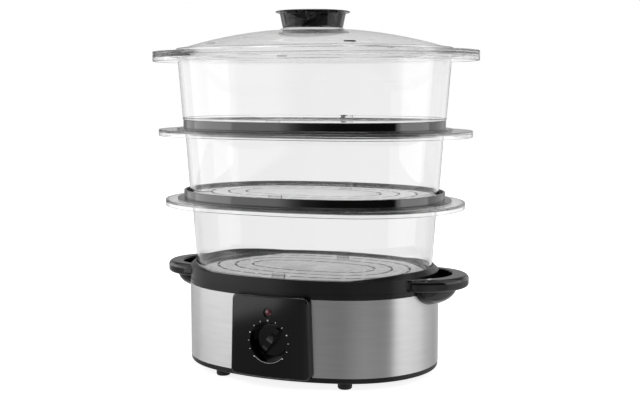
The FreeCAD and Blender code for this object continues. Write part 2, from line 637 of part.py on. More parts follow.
# ---------------------------------------------------------------- filler handles
def tongue(side, extra=0.0):
    """A catch of the handle that passes through the shell's rim."""
    y = side * TONGUE_Y
    z = HANDLE_LOW_Z + HANDLE_HEIGHT / 2
    half_width, half_height = TONGUE_WIDTH / 2 + extra, TONGUE_HEIGHT / 2 + extra
    outer_x = tongue_wall_x()
    return box(V(outer_x - TONGUE_REACH - extra, y - half_width, z - half_height),
               V(outer_x + TONGUE_ROOT, y + half_width, z + half_height))


def tongue_wall_x():
    """Where the base's end arc lies at the tongues."""
    end = BASE.end_radius
    return BASE.half_length - end + math.sqrt(end ** 2 - TONGUE_Y ** 2)


def filler_handle():
    """The right loop handle with the water scoop that hangs under it."""
    centre = V(HANDLE_CENTRE_X, 0, 0)
    loop = rod(HANDLE_RADIUS, centre + V(0, 0, HANDLE_LOW_Z), centre + V(0, 0, HANDLE_TOP_Z))
    loop = rounded(loop, HANDLE_ROUND, level_edge(HANDLE_TOP_Z))
    loop = rounded(loop, HANDLE_ROUND_BELOW, level_edge(HANDLE_LOW_Z))
    inner_x = BASE.half_length - RIM_WIDTH - LEDGE_WIDTH + FIT
    scoop = scoop_body().cut(box(V(0, -REACH, 0), V(inner_x, REACH, REACH)))
    handle = fused([loop, scoop])
    keep_out = slab(BASE, HANDLE_LOW_Z, RIM_TOP_Z + PAST)
    handle = handle.cut(keep_out)
    handle = handle.cut(scoop_body(SCOOP_WALL))
    hole = Part.Face(Part.Wire(Part.Ellipse(V(0, 0, 0), HANDLE_HOLE_Y, HANDLE_HOLE_X).toShape()))
    hole.rotate(V(0, 0, 0), Z_AXIS, 90)
    hole.translate(V(HANDLE_CENTRE_X, 0, HANDLE_LOW_Z - PAST / 2))
    handle = handle.cut(hole.extrude(V(0, 0, HANDLE_HEIGHT + 2 * PAST)))
    return fused([handle] + [tongue(side).cut(outside_base()) for side in (-1, 1)])


def outside_base():
    """Everything beyond the rim's outer face, at the tongues' level."""
    block = box(V(0, -REACH, HANDLE_LOW_Z - PAST), V(REACH, REACH, HANDLE_TOP_Z + PAST))
    return block.cut(slab(grow(BASE, PAST), HANDLE_LOW_Z - 2 * PAST, HANDLE_TOP_Z + 2 * PAST))


# ---------------------------------------------------------------- control panel
def panel_outline(inset):
    """The panel's face outline as a prism that runs along Y."""
    low, high = PANEL_BOTTOM_Z + inset, PANEL_TOP_Z - inset
    bottom, top = PANEL_BOTTOM_HALF - inset, PANEL_TOP_HALF - inset
    start = PANEL_FACE_Y - PAST
    points = [V(-bottom, start, low), V(bottom, start, low), V(top, start, high), V(-top, start, high)]
    solid = prism(points, V(0, -start, 0))
    return rounded(solid, max(PANEL_CORNER - inset, PANEL_LEAST_ROUND), runs_along_y)


def runs_along_y(edge):
    return edge.BoundBox.YLength > SAME and edge.BoundBox.XLength < SAME and edge.BoundBox.ZLength < SAME


def control_panel():
    proud = grow(BASE, PANEL_PROUD)
    body = panel_outline(0).common(slab(proud, 0, PANEL_TOP_Z + PAST))
    front = [edge for edge in body.Edges if edge.BoundBox.YMax < -BASE.half_depth + 2 * PAST]
    body = body.makeFillet(PANEL_EDGE_ROUND, front)
    body = body.cut(slab(BASE, 0, PANEL_TOP_Z + PAST))
    body = body.cut(panel_outline(PANEL_SKIN).common(slab(grow(proud, -PANEL_SKIN), 0, PANEL_TOP_Z)))
    in_skin = PANEL_FACE_Y + PANEL_SKIN / 2
    well = dial_rod(WELL_RADIUS + PANEL_SKIN, in_skin, WELL_FLOOR_Y + PANEL_SKIN)
    lens_tube = lens_rod(LENS_RECESS_RADIUS + LENS_TUBE_WALL, in_skin, PANEL_FACE_Y + PANEL_PROUD)
    boss = rod(BOSS_RADIUS, V(0, in_skin, 0), V(0, -BASE.half_depth - PANEL_BOSS_GAP, 0))
    bosses = [at_panel_screw(boss, place) for place in panel_screw_places()]
    body = fused([body, well, lens_tube] + bosses)
    before = PANEL_FACE_Y - PAST
    cutters = [dial_rod(WELL_RADIUS, before, WELL_FLOOR_Y),
               dial_rod(KNOB_BOSS_RADIUS + KNOB_BOSS_ROOM, before, TIMER_Y + PAST),
               lens_rod(LENS_RECESS_RADIUS, before, PANEL_FACE_Y + LENS_RECESS_DEPTH),
               lens_rod(LENS_RADIUS, before, PANEL_FACE_Y + PANEL_PROUD + PAST)]
    for x in (-TIMER_SCREW_X, TIMER_SCREW_X):
        cutters.append(dial_rod(SCREW_RADIUS + FIT, before, TIMER_Y + PAST, x))
        cutters.append(dial_rod(SCREW_HEAD_RADIUS + FIT, before, WELL_FLOOR_Y + TIMER_SCREW_HEAD, x))
    pilot = rod(SCREW_RADIUS, V(0, -BASE.half_depth - PANEL_PILOT_DEPTH, 0), V(0, 0, 0))
    cutters += [at_panel_screw(pilot, place) for place in panel_screw_places()]
    return cut_all(body, cutters)


def dial_rod(radius, start, end, x=0.0):
    """A rod along Y at the dial's height."""
    return rod(radius, V(x, start, DIAL_Z), V(x, end, DIAL_Z))


def lens_rod(radius, start, end, x=0.0):
    """A rod along Y at the lens's height."""
    return rod(radius, V(x, start, LENS_Z), V(x, end, LENS_Z))


def panel_screws():
    seat = V(0, -BASE.half_depth + BEHIND_SHELL + SCREW_SEAT_GAP, 0)
    one = screw(seat, V(0, -1, 0), BEHIND_SHELL + PANEL_SCREW_BITE)
    return group([at_panel_screw(one, place) for place in panel_screw_places()])


def indicator_lens():
    face = PANEL_FACE_Y + LENS_RECESS_DEPTH
    front = face - LENS_PROUD
    body = lens_rod(LENS_RADIUS, front, face + LENS_LENGTH)
    centre = front + math.sqrt(LENS_DOME_RADIUS ** 2 - LENS_RADIUS ** 2)
    ball = Part.makeSphere(LENS_DOME_RADIUS, V(0, centre, LENS_Z))
    cap = ball.common(lens_rod(LENS_RADIUS, centre - LENS_DOME_RADIUS - PAST, front))
    bore = lens_rod(NEON_RADIUS + FIT, face + LENS_FRONT, face + LENS_LENGTH + PAST)
    return fused([body, cap]).cut(bore)


def neon_lamp():
    start = PANEL_FACE_Y + LENS_RECESS_DEPTH + LENS_FRONT
    end = start + NEON_LENGTH
    tube = lens_rod(NEON_RADIUS, start, end)
    tube = tube.makeFillet(NEON_TIP, [tube.Edges[0]])
    legs = [lens_rod(NEON_LEG_RADIUS, end - NEON_LEG_RADIUS, end + NEON_LEG_LENGTH, x)
            for x in (-NEON_LEG_X, NEON_LEG_X)]
    return fused([tube] + legs)


# ---------------------------------------------------------------- timer and knob
def lug_z():
    """The underside of the timer's connection lugs."""
    return DIAL_Z - TIMER_HEIGHT / 2 + LUG_RISE


def timer_case():
    back = TIMER_Y + TIMER_DEPTH
    half = V(TIMER_WIDTH / 2, 0, TIMER_HEIGHT / 2)
    case = box(V(0, TIMER_Y, DIAL_Z) - half, V(0, back, DIAL_Z) + half)
    case = rounded(case, TIMER_CORNER, runs_along_y)
    seam_y = TIMER_Y + TIMER_DEPTH / 2
    case = case.cut(box(V(-REACH, seam_y - TIMER_SEAM / 2, 0), V(REACH, seam_y + TIMER_SEAM / 2, REACH)))
    half -= V(TIMER_SEAM_DEPTH, 0, TIMER_SEAM_DEPTH)
    core = box(V(0, TIMER_Y + PAST, DIAL_Z) - half, V(0, back - PAST, DIAL_Z) + half)
    lug_low = V(-LUG_WIDTH / 2, back, lug_z())
    lug_high = lug_low + V(LUG_WIDTH, LUG_LENGTH, LUG_THICK)
    lugs = [box(lug_low + V(x, 0, 0), lug_high + V(x, 0, 0)) for x in (-LUG_X, 0, LUG_X)]
    cutters = [dial_rod(SHAFT_RADIUS + SHAFT_FIT, TIMER_Y - PAST, TIMER_Y + SHAFT_DEPTH)]
    for x in (-TIMER_SCREW_X, TIMER_SCREW_X):
        cutters.append(dial_rod(SCREW_RADIUS, TIMER_Y - PAST, TIMER_Y + TIMER_PILOT_DEPTH, x))
    return cut_all(fused([case, core] + lugs), cutters)


def timer_bell():
    """The chime that rings at the end of the time, on a pin behind the case."""
    flat = BELL_HEIGHT - BELL_PIN_RADIUS
    outline = [(BELL_PIN_RADIUS, 0), (BELL_HUB_RADIUS, 0), (BELL_HUB_RADIUS, flat - BELL_WALL),
               (BELL_FLAT_INSIDE, flat - BELL_WALL), (BELL_RADIUS - BELL_WALL, BELL_EDGE_GAP),
               (BELL_RADIUS, BELL_EDGE_GAP), (BELL_FLAT_OUTSIDE, flat), (BELL_HUB_RADIUS, BELL_HEIGHT),
               (BELL_PIN_RADIUS, BELL_HEIGHT)]
    pin = rod(BELL_PIN_RADIUS, V(0, 0, 0), V(0, 0, BELL_HEIGHT))
    bell = turned(outline).fuse(pin)
    bell.rotate(V(0, 0, 0), X_AXIS, -90)
    bell.translate(V(0, TIMER_Y + TIMER_DEPTH, DIAL_Z + BELL_RISE))
    return bell


def timer_screws():
    made = []
    seat = WELL_FLOOR_Y + TIMER_SCREW_HEAD
    for x in (-TIMER_SCREW_X, TIMER_SCREW_X):
        head = dial_rod(SCREW_HEAD_RADIUS, WELL_FLOOR_Y + TIMER_SCREW_SINK, seat, x)
        made.append(head.fuse(dial_rod(SCREW_RADIUS, seat, TIMER_Y + TIMER_SCREW_BITE, x)))
    return group(made)


def knob_turn(shape):
    """Turn a piece made with its pointer at twelve o'clock to the knob's rest angle."""
    copy = shape.copy()
    copy.rotate(V(0, 0, DIAL_Z), Y_AXIS, KNOB_POINTER_TURN)
    return copy


def timer_knob():
    disc_back = KNOB_FACE_Y + KNOB_DISC
    disc = dial_rod(KNOB_RADIUS, KNOB_FACE_Y, disc_back)
    disc = rounded(disc, KNOB_EDGE_ROUND, lambda edge: abs(edge.BoundBox.YMax - KNOB_FACE_Y) < SAME)
    half, tip = KNOB_GRIP_WIDTH / 2, KNOB_GRIP_TIP_WIDTH / 2
    reach = KNOB_RADIUS - KNOB_GRIP_SHORT
    front = KNOB_FACE_Y - KNOB_GRIP_PROUD
    wire = [V(-tip, front, DIAL_Z + reach), V(tip, front, DIAL_Z + reach), V(half, front, DIAL_Z),
            V(tip, front, DIAL_Z - reach), V(-tip, front, DIAL_Z - reach), V(-half, front, DIAL_Z)]
    grip = prism(wire, V(0, KNOB_GRIP_PROUD + PAST, 0))
    arch = KNOB_RADIUS * KNOB_CROWN
    crown = rod(arch, V(-KNOB_RADIUS, front + arch, DIAL_Z), V(KNOB_RADIUS, front + arch, DIAL_Z))
    heel = box(V(-KNOB_RADIUS, KNOB_FACE_Y - KNOB_HEEL, 0), V(KNOB_RADIUS, disc_back, REACH))
    grip = grip.common(crown.fuse(heel))
    knob = fused([disc, grip, dial_rod(KNOB_BOSS_RADIUS, disc_back - PAST, TIMER_Y - SEAT_GAP)])
    line = box(V(-KNOB_LINE_WIDTH / 2, front - PAST, DIAL_Z + KNOB_LINE_START),
               V(KNOB_LINE_WIDTH / 2, front + KNOB_LINE_DEPTH, DIAL_Z + reach - KNOB_LINE_SHORT))
    return knob_turn(knob.cut(line).cut(shaft_blank()))


def shaft_blank():
    """The D-ended shaft from inside the timer to inside the knob, its flat upwards."""
    front = KNOB_FACE_Y - SHAFT_IN_GRIP
    body = dial_rod(SHAFT_RADIUS, front, TIMER_Y + SHAFT_DEPTH - SEAT_GAP)
    flat = box(V(-KNOB_RADIUS, front - PAST, DIAL_Z + SHAFT_RADIUS - SHAFT_FLAT),
               V(KNOB_RADIUS, KNOB_FACE_Y + KNOB_DISC, DIAL_Z + KNOB_RADIUS))
    return body.cut(flat)


def timer_shaft():
    return knob_turn(shaft_blank())


# ---------------------------------------------------------------- heater
def clamp_screw_places():
    places = []
    for index in range(CLAMP_SCREW_COUNT):
        turn = math.radians((index + 0.5) * 360 / CLAMP_SCREW_COUNT)
        out = V(math.cos(turn), math.sin(turn), 0)
        places.append(V(0, HEATER_Y, 0) + out * CLAMP_SCREW_CIRCLE)
    return places


def heater_gasket():
    outline = [(HEATER_HOLE_RADIUS, PLATE_UNDER_Z), (HEATER_PLATE_RADIUS, PLATE_UNDER_Z),
               (HEATER_PLATE_RADIUS, PLATE_UNDER_Z + GASKET), (HEATER_HOLE_RADIUS, PLATE_UNDER_Z + GASKET)]
    return turned(outline, V(0, HEATER_Y, 0))


def heating_plate():
    under = PLATE_UNDER_Z - HEATER_PLATE
    dish = HEATER_HOLE_RADIUS - FIT
    top = PLATE_UNDER_Z + HEATER_DISH_RISE
    middle = top - HEATER_DISH_DROP
    bead = dish - HEATER_BEAD_OUTSIDE
    outline = [(0, under), (HEATER_PLATE_RADIUS, under), (HEATER_PLATE_RADIUS, PLATE_UNDER_Z),
               (dish, PLATE_UNDER_Z), (bead, top), (bead - HEATER_BEAD, top),
               (bead - HEATER_BEAD - HEATER_BEAD_INSIDE, middle), (0, middle)]
    return turned(outline, V(0, HEATER_Y, 0))


def heater_clamp():
    high = PLATE_UNDER_Z
    low = high - HEATER_PLATE - CLAMP
    inner = HEATER_PLATE_RADIUS - CLAMP_OVERLAP
    outline = [(inner, low), (CLAMP_RADIUS, low), (CLAMP_RADIUS, high), (HEATER_PLATE_RADIUS + FIT, high),
               (HEATER_PLATE_RADIUS + FIT, low + CLAMP), (inner, low + CLAMP)]
    clamp = turned(outline, V(0, HEATER_Y, 0))
    for p in clamp_screw_places():
        clamp = clamp.cut(rod(SCREW_RADIUS + FIT, V(p.x, p.y, low - PAST), V(p.x, p.y, high + PAST)))
    return clamp


def heater_screws():
    low = PLATE_UNDER_Z - HEATER_PLATE - CLAMP
    length = PLATE_UNDER_Z + CLAMP_SCREW_BITE - low
    return group([screw(V(p.x, p.y, low), Z_AXIS, length) for p in clamp_screw_places()])


def heating_element():
    z = PLATE_UNDER_Z - HEATER_PLATE - ELEMENT_RADIUS
    start = ELEMENT_GAP_ANGLE / 2 - 90
    sweep = 360 - ELEMENT_GAP_ANGLE
    bend = Part.makeTorus(ELEMENT_CIRCLE, ELEMENT_RADIUS, V(0, 0, 0), Z_AXIS, 0, 360, sweep)
    bend.rotate(V(0, 0, 0), Z_AXIS, start)
    bend.translate(V(0, HEATER_Y, z))
    pieces = [bend]
    for turn, sense in ((math.radians(start), -1), (math.radians(start + sweep), 1)):
        joint = V(ELEMENT_CIRCLE * math.cos(turn), HEATER_Y + ELEMENT_CIRCLE * math.sin(turn), z)
        way = V(-math.sin(turn), math.cos(turn), 0) * sense
        pieces.append(rod(ELEMENT_RADIUS, joint, joint + way * ELEMENT_SHEATH_TAIL))
        pieces.append(rod(ELEMENT_PIN_RADIUS, joint, joint + way * ELEMENT_TAIL))
    return fused(pieces)


def thermostat():
    top = PLATE_UNDER_Z - HEATER_PLATE
    low = top - THERMOSTAT_HEIGHT
    collar = top - THERMOSTAT_COLLAR
    body = THERMOSTAT_RADIUS - THERMOSTAT_STEP
    outline = [(0, low), (body, low), (body, collar),
               (THERMOSTAT_RADIUS, collar), (THERMOSTAT_RADIUS, top), (0, top)]
    half = V(BLADE_THICK / 2, BLADE_WIDTH / 2, 0)
    blades = [box(V(x, HEATER_Y, low - BLADE_LENGTH) - half, V(x, HEATER_Y, low + PAST) + half)
              for x in (-BLADE_X, BLADE_X)]
    return fused([turned(outline, V(0, HEATER_Y, 0))] + blades)


def thermal_fuse():
    top = PLATE_UNDER_Z - HEATER_PLATE
    middle = V(0, HEATER_Y - THERMOSTAT_RADIUS - FUSE_GAP - FUSE_RADIUS, top - FUSE_RADIUS)
    half = V(FUSE_LENGTH / 2, 0, 0)
    leg = V(FUSE_LENGTH / 2 + FUSE_LEG, 0, 0)
    body = rod(FUSE_RADIUS, middle - half, middle + half)
    return fused([body, rod(FUSE_LEG_RADIUS, middle - leg, middle + leg)])


# ---------------------------------------------------------------- supply inlet
def cord_gland():
    face = back_y(GLAND_X)
    start, end = face - GLAND_LENGTH, face + GLAND_TAIL
    flange_y = face + GLAND_FLANGE_GAP
    flange = gland_rod(GLAND_FLANGE_RADIUS, flange_y, flange_y + GLAND_FLANGE).cut(slab(BASE, 0, RIM_Z))
    gland = fused([gland_rod(GLAND_RADIUS, start, end), flange])
    grooves = []
    for index in range(GLAND_GROOVES):
        high = end - GLAND_GROOVE_PITCH * (index + 0.5)
        ring = gland_rod(GLAND_RADIUS + PAST, high - GLAND_GROOVE, high)
        grooves.append(ring.cut(gland_rod(GLAND_RADIUS - GLAND_GROOVE_DEPTH, start, end)))
    return cut_all(gland, grooves + [gland_rod(GLAND_BORE, start - PAST, end + PAST)])


def gland_rod(radius, start, end):
    """A rod along Y on the supply inlet's axis."""
    return rod(radius, V(GLAND_X, start, GLAND_Z), V(GLAND_X, end, GLAND_Z))


def block_place():
    """The middle of the terminal block's underside, on the cover's floor."""
    back = back_y(BLOCK_X) - BEHIND_COVER - COVER_WALL - BLOCK_BEHIND
    return V(BLOCK_X, back - BLOCK_DEPTH / 2, COVER_Z + COVER_FLOOR)


def terminal_block():
    foot = block_place()
    half = V(BLOCK_WIDTH / 2, BLOCK_DEPTH / 2, 0)
    block = box(foot - half, foot + half + V(0, 0, BLOCK_HEIGHT))
    for index in range(BLOCK_WAYS):
        way = foot + V((index - (BLOCK_WAYS - 1) / 2) * BLOCK_WIDTH / BLOCK_WAYS, 0, 0)
        top = way + V(0, 0, BLOCK_HEIGHT + PAST)
        block = block.cut(rod(BLOCK_SCREW_HOLE, way + V(0, 0, BLOCK_HEIGHT - BLOCK_SCREW_DEPTH), top))
        mouth = way + V(0, 0, BLOCK_WAY_Z)
        run = V(0, BLOCK_DEPTH, 0)
        block = block.cut(rod(BLOCK_WAY_HOLE, mouth - run, mouth + run))
    return block


# ---------------------------------------------------------------- lift-out pieces in the base
def steam_sleeve():
    low = TUB_FLOOR_Z
    bend = low + SLEEVE_SKIRT
    outer = [(SLEEVE_RADIUS, low), (SLEEVE_RADIUS, bend), (SLEEVE_TOP_RADIUS, low + SLEEVE_HEIGHT)]
    inner = [(SLEEVE_TOP_RADIUS - SLEEVE_WALL, low + SLEEVE_HEIGHT), (SLEEVE_RADIUS - SLEEVE_WALL, bend),
             (SLEEVE_RADIUS - SLEEVE_WALL, low)]
    sleeve = turned(outer + inner, V(0, HEATER_Y, 0))
    for index in range(SLEEVE_NOTCHES):
        turn = math.radians((index + 0.5) * 360 / SLEEVE_NOTCHES)
        way = V(math.cos(turn), math.sin(turn), 0)
        centre = V(0, HEATER_Y, low)
        sleeve = sleeve.cut(rod(SLEEVE_NOTCH_RADIUS, centre + way * SLEEVE_TOP_RADIUS, centre + way * REACH))
    return sleeve


def drip_tray():
    flange = grow(BASE, -RIM_WIDTH - LOOSE)
    well = grow(BASE, -TRAY_WELL_INSET)
    low = TRAY_Z - TRAY_WELL_DEPTH
    tray = fused([slab(flange, TRAY_Z, TRAY_Z + TRAY_PLATE), slab(well, low, TRAY_Z + PAST / 2)])
    tray = tray.cut(taper([(grow(well, -TRAY_PLATE - TRAY_WELL_DRAFT), low + TRAY_PLATE),
                           (grow(well, -TRAY_PLATE), TRAY_Z + TRAY_PLATE + PAST)]))
    head = TRAY_Z + TRAY_PLATE - CHIMNEY_HEAD_GAP
    chimney = rod(CHIMNEY_RADIUS, V(0, HEATER_Y, low), V(0, HEATER_Y, head))
    tray = fused([tray, rounded(chimney, CHIMNEY_ROUND, level_edge(head))])
    bore = CHIMNEY_RADIUS - CHIMNEY_WALL
    tray = tray.cut(rod(bore, V(0, HEATER_Y, low - PAST), V(0, HEATER_Y, head - CHIMNEY_WALL)))
    for index in range(CHIMNEY_SLOTS):
        half = V(0, CHIMNEY_SLOT_WIDTH / 2, 0)
        slot = box(V(CHIMNEY_SLOT_START, HEATER_Y, head - CHIMNEY_WALL - PAST) - half,
                   V(bore - CHIMNEY_SLOT_SHORT, HEATER_Y, head + PAST) + half)
        slot.rotate(V(0, HEATER_Y, 0), Z_AXIS, index * 360 / CHIMNEY_SLOTS)
        tray = tray.cut(slot)
    return tray


# ---------------------------------------------------------------- baskets and floor plates
def basket_half(level, z):
    """Half length of the basket's outer wall at this height."""
    share = (z - BASKET_Z[level]) / BASKET_HEIGHTS[level]
    return BASKET_BOTTOM_HALF[level] + (BASKET_TOP_HALF[level] - BASKET_BOTTOM_HALF[level]) * share


def basket(level):
    low = BASKET_Z[level]
    high = low + BASKET_HEIGHTS[level]
    ends = [(basket_oval(basket_half(level, z)), z) for z in (low, high)]
    wall = taper(ends)
    flange = slab(flange_oval(level), high - FLANGE_HEIGHT, high)
    flange = rounded(flange, FLANGE_ROUND, level_edge(high, high - FLANGE_HEIGHT))
    recess = slab(grow(flange_oval(level), -FLANGE_SKIRT), high - FLANGE_HEIGHT - PAST, high - FLANGE_PLATE)
    flange = flange.cut(recess.cut(taper(ends)))
    body = fused([wall, flange])
    step_in = foot_step(level)
    if step_in:
        outside = grow(foot_oval(), step_in + PAST)
        body = body.cut(hoop(outside, foot_oval(), low - PAST, low + TOP_BASKET_FOOT))
    ledge_top = low + BASKET_LEDGE
    inner_low = inside_wall(level, low, step_in)
    inner_high = inside_wall(level, high + PAST)
    if step_in:
        step_top = low + TOP_BASKET_FOOT + BASKET_WALL
        body = body.cut(taper([(inner_low, ledge_top), (inside_wall(level, step_top, step_in), step_top)]))
        body = body.cut(taper([(inside_wall(level, step_top), step_top), (inner_high, high + PAST)]))
    else:
        body = body.cut(taper([(inner_low, ledge_top), (inner_high, high + PAST)]))
    return body.cut(slab(grow(inner_low, BASKET_WALL - BASKET_LEDGE_WIDTH), low - PAST, ledge_top + PAST))


def inside_wall(level, z, step_in=0.0):
    """The outline inside the basket's wall at this height, further in by the step at its foot."""
    return grow(basket_oval(basket_half(level, z)), -BASKET_WALL - step_in)


def foot_oval():
    """The outline of the top basket's foot, which stands inside the upper ring."""
    return grow(RING, -RING_WALL - LOOSE)


def foot_step(level):
    """How far the top basket steps in at its foot; the others do not."""
    if level < 2:
        return 0.0
    return basket_half(level, BASKET_Z[level] + TOP_BASKET_FOOT) - foot_oval().half_length


def floor_plate(level):
    low = BASKET_Z[level] + BASKET_LEDGE
    top = low + PLATE
    outline = grow(inside_wall(level, BASKET_Z[level], foot_step(level)), -LOOSE)
    bead_oval = grow(outline, -PLATE_BEAD_INSET)
    bead = hoop(bead_oval, grow(bead_oval, -PLATE_BEAD), top - PLATE_BEAD_RISE / 2, top + PLATE_BEAD_RISE)
    tabs = []
    tab_low = V(-PLATE_TAB_WIDTH / 2, -PLATE_TAB_THICK / 2, low + PLATE / 2)
    tab_high = V(PLATE_TAB_WIDTH / 2, PLATE_TAB_THICK / 2, top + PLATE_TAB_HEIGHT)
    for side in (-1, 1):
        place = V(0, side * (outline.half_depth - PLATE_TAB_INSET), 0)
        tabs.append(box(tab_low + place, tab_high + place))
    plate = fused([slab(outline, low, top), bead] + tabs)
    for inset in PLATE_SLOT_INSETS:
        middle = grow(outline, -inset)
        count = int(round(oval_wire(middle, 0).Length / PLATE_SLOT_PITCH / 2)) * 2
        outer, inner = grow(middle, PLATE_SLOT_WIDTH / 2), grow(middle, -PLATE_SLOT_WIDTH / 2)
        ring = hoop(outer, inner, low - PAST, top + PAST)
        bridges = []
        for place, turn in oval_stations(middle, count):
            bridge = box(V(-PLATE_SLOT_WIDTH, -PLATE_SLOT_BRIDGE / 2, low - 2 * PAST),
                         V(PLATE_SLOT_WIDTH, PLATE_SLOT_BRIDGE / 2, top + 2 * PAST))
            bridge.rotate(V(0, 0, 0), Z_AXIS, turn)
            bridge.translate(place)
            bridges.append(bridge)
        plate = plate.cut(ring.cut(group(bridges)))
    return plate


# ---------------------------------------------------------------- stacking rings
def stacking_ring(level):
    """The ring that stands on basket `level` and carries the next basket up."""
    low = (RING_1_Z, RING_2_Z)[level]
    lip = slab(grow(RING, RING_LIP_REACH), low, low + RING_LIP)
    wall = slab(RING, low, low + RING_HEIGHT)
    skirt_low = low - RING_SKIRT_DEPTH
    skirt_oval = grow(basket_oval(basket_half(level, skirt_low)), -BASKET_WALL - LOOSE)
    skirt = slab(skirt_oval, skirt_low, low + PAST / 2)
    ring = fused([lip, wall, skirt])
    ring = ring.cut(slab(grow(RING, -RING_WALL), low + RING_SHELF, low + RING_HEIGHT + PAST))
    opening = grow(skirt_oval, -RING_SKIRT)
    return ring.cut(slab(opening, skirt_low - PAST, low + RING_HEIGHT + PAST))


# ---------------------------------------------------------------- lid and its knob
def dome_level(share, inset=0.0, drop=0.0):
    outline = scaled(basket_oval(LID_DOME_HALF), share)
    return grow(outline, -inset), DOME_TOP_Z - LID_RISE * share ** LID_POWER - drop


def lid():
    flange = slab(flange_oval(2), LID_Z, LID_Z + LID_PLATE)
    flange = rounded(flange, FLANGE_ROUND, level_edge(LID_Z, LID_Z + LID_PLATE))
    step = slab(basket_oval(LID_STEP_HALF), LID_Z + PAST, DOME_Z)
    step = rounded(step, FLANGE_ROUND, level_edge(DOME_Z))
    dome = taper([dome_level(share) for share in LID_DOME_SHARES], smooth=True)
    skirt_low = LID_Z - LID_SKIRT_DEPTH
    skirt_oval = grow(basket_oval(basket_half(2, skirt_low)), -BASKET_WALL - LOOSE)
    skirt = slab(skirt_oval, skirt_low, LID_Z + PAST)
    seat_low = GRIP_Z - LID_SEAT_HEIGHT
    seat = turned([(0, seat_low), (LID_SEAT_FLARE, seat_low), (LID_SEAT_RADIUS, GRIP_Z), (0, GRIP_Z)])
    hollow = taper([dome_level(share, LID_WALL * share, LID_WALL) for share in LID_DOME_SHARES], smooth=True)
    room = basket_oval(LID_DOME_HALF - LID_WALL)
    whole = fused([flange, step, dome, skirt, seat])
    whole = whole.cut(hollow)
    whole = whole.cut(slab(room, skirt_low - PAST, DOME_Z - LID_WALL))
    whole = whole.cut(slab(grow(skirt_oval, -LID_SKIRT), skirt_low - PAST, LID_Z))
    pocket = turned([(0, seat_low - PAST), (LID_SEAT_FLARE - LID_SEAT_WALL_FOOT, seat_low - PAST),
                     (LID_SEAT_RADIUS - LID_SEAT_WALL_TOP, GRIP_Z - LID_WALL), (0, GRIP_Z - LID_WALL)])
    whole = whole.cut(pocket)
    whole = whole.cut(rod(LID_SCREW_RADIUS + FIT, V(0, 0, LID_Z), V(0, 0, GRIP_Z + PAST)))
    for place in corners_of(LID_VENT_X, LID_VENT_Y):
        way = 1 if place.x * place.y > 0 else -1
        slot = box(V(-LID_VENT_LENGTH / 2, -LID_VENT_WIDTH / 2, DOME_Z - 2 * PAST),
                   V(LID_VENT_LENGTH / 2, LID_VENT_WIDTH / 2, GRIP_Z))
        slot.rotate(V(0, 0, 0), Z_AXIS, -way * LID_VENT_TURN)
        slot.translate(V(place.x, place.y, 0))
        whole = whole.cut(slot)
    return whole


def lid_knob():
    low = GRIP_Z + GRIP_SKIRT_GAP
    shoulder = GRIP_Z + GRIP_HEIGHT
    brim_top = shoulder + GRIP_BRIM
    crown = brim_top + GRIP_CROWN
    inner = GRIP_BASE_RADIUS - GRIP_WALL
    inner_top = GRIP_TOP_RADIUS - GRIP_WALL
    under = shoulder - GRIP_EASE
    outline = [(LID_SCREW_RADIUS, GRIP_Z), (GRIP_BOSS_RADIUS, GRIP_Z), (GRIP_BOSS_RADIUS + PAST, under),
               (inner_top, under), (inner, low), (GRIP_BASE_RADIUS, low), (GRIP_TOP_RADIUS, under),
               (GRIP_TOP_RADIUS + GRIP_EASE, shoulder),
               (GRIP_BRIM_RADIUS - GRIP_EASE, shoulder + GRIP_BRIM_LOW),
               (GRIP_BRIM_RADIUS, shoulder + GRIP_BRIM_HIGH), (GRIP_BRIM_RADIUS - GRIP_EASE, brim_top)]
    outline += [(radius, crown - drop) for radius, drop in GRIP_CROWN_POINTS]
    return turned(outline + [(0, crown), (0, shoulder), (LID_SCREW_RADIUS, shoulder)])


def lid_knob_screw():
    seat = V(0, 0, GRIP_Z - LID_WALL - LID_WASHER)
    length = LID_SCREW_LENGTH + LID_WASHER
    return screw(seat, Z_AXIS, length, LID_SCREW_RADIUS, LID_SCREW_HEAD_RADIUS)


def lid_knob_washer():
    high = GRIP_Z - LID_WALL
    return turned([(LID_SCREW_RADIUS, high - LID_WASHER), (LID_WASHER_RADIUS, high - LID_WASHER),
                   (LID_WASHER_RADIUS, high), (LID_SCREW_RADIUS, high)])


# ---------------------------------------------------------------- internal leads
def lead(points):
    """A wire of straight runs with round joints."""
    pieces = [rod(LEAD_RADIUS, start, end) for start, end in zip(points, points[1:])]
    pieces += [Part.makeSphere(LEAD_RADIUS, point) for point in points[1:-1]]
    return fused(pieces)


def internal_leads():
    """From the terminal block, past the heater on both sides, to the timer's lugs."""
    foot = block_place()
    level = foot.z + BLOCK_WAY_Z
    front_of_block = foot.y - BLOCK_DEPTH / 2
    aside = CLAMP_RADIUS + LEAD_CLEAR
    past_heater = HEATER_Y - CLAMP_RADIUS - LEAD_CLEAR
    step = BLOCK_WIDTH / BLOCK_WAYS
    leads = []
    for side in (1, -1):
        x = foot.x + side * step
        turn_x = max(x, side * aside) if side > 0 else -aside
        lug = V(side * LUG_X, TIMER_Y + TIMER_DEPTH + LUG_LENGTH / 2, lug_z())
        leads.append(lead([V(x, front_of_block, level), V(x, front_of_block - LEAD_SETBACK, level),
                           V(turn_x, HEATER_Y + aside / 2, level), V(turn_x, past_heater, level),
                           V(lug.x + side * LEAD_SETBACK, past_heater, level), V(lug.x, lug.y, level),
                           V(lug.x, lug.y, lug.z)]))
    return group(leads)


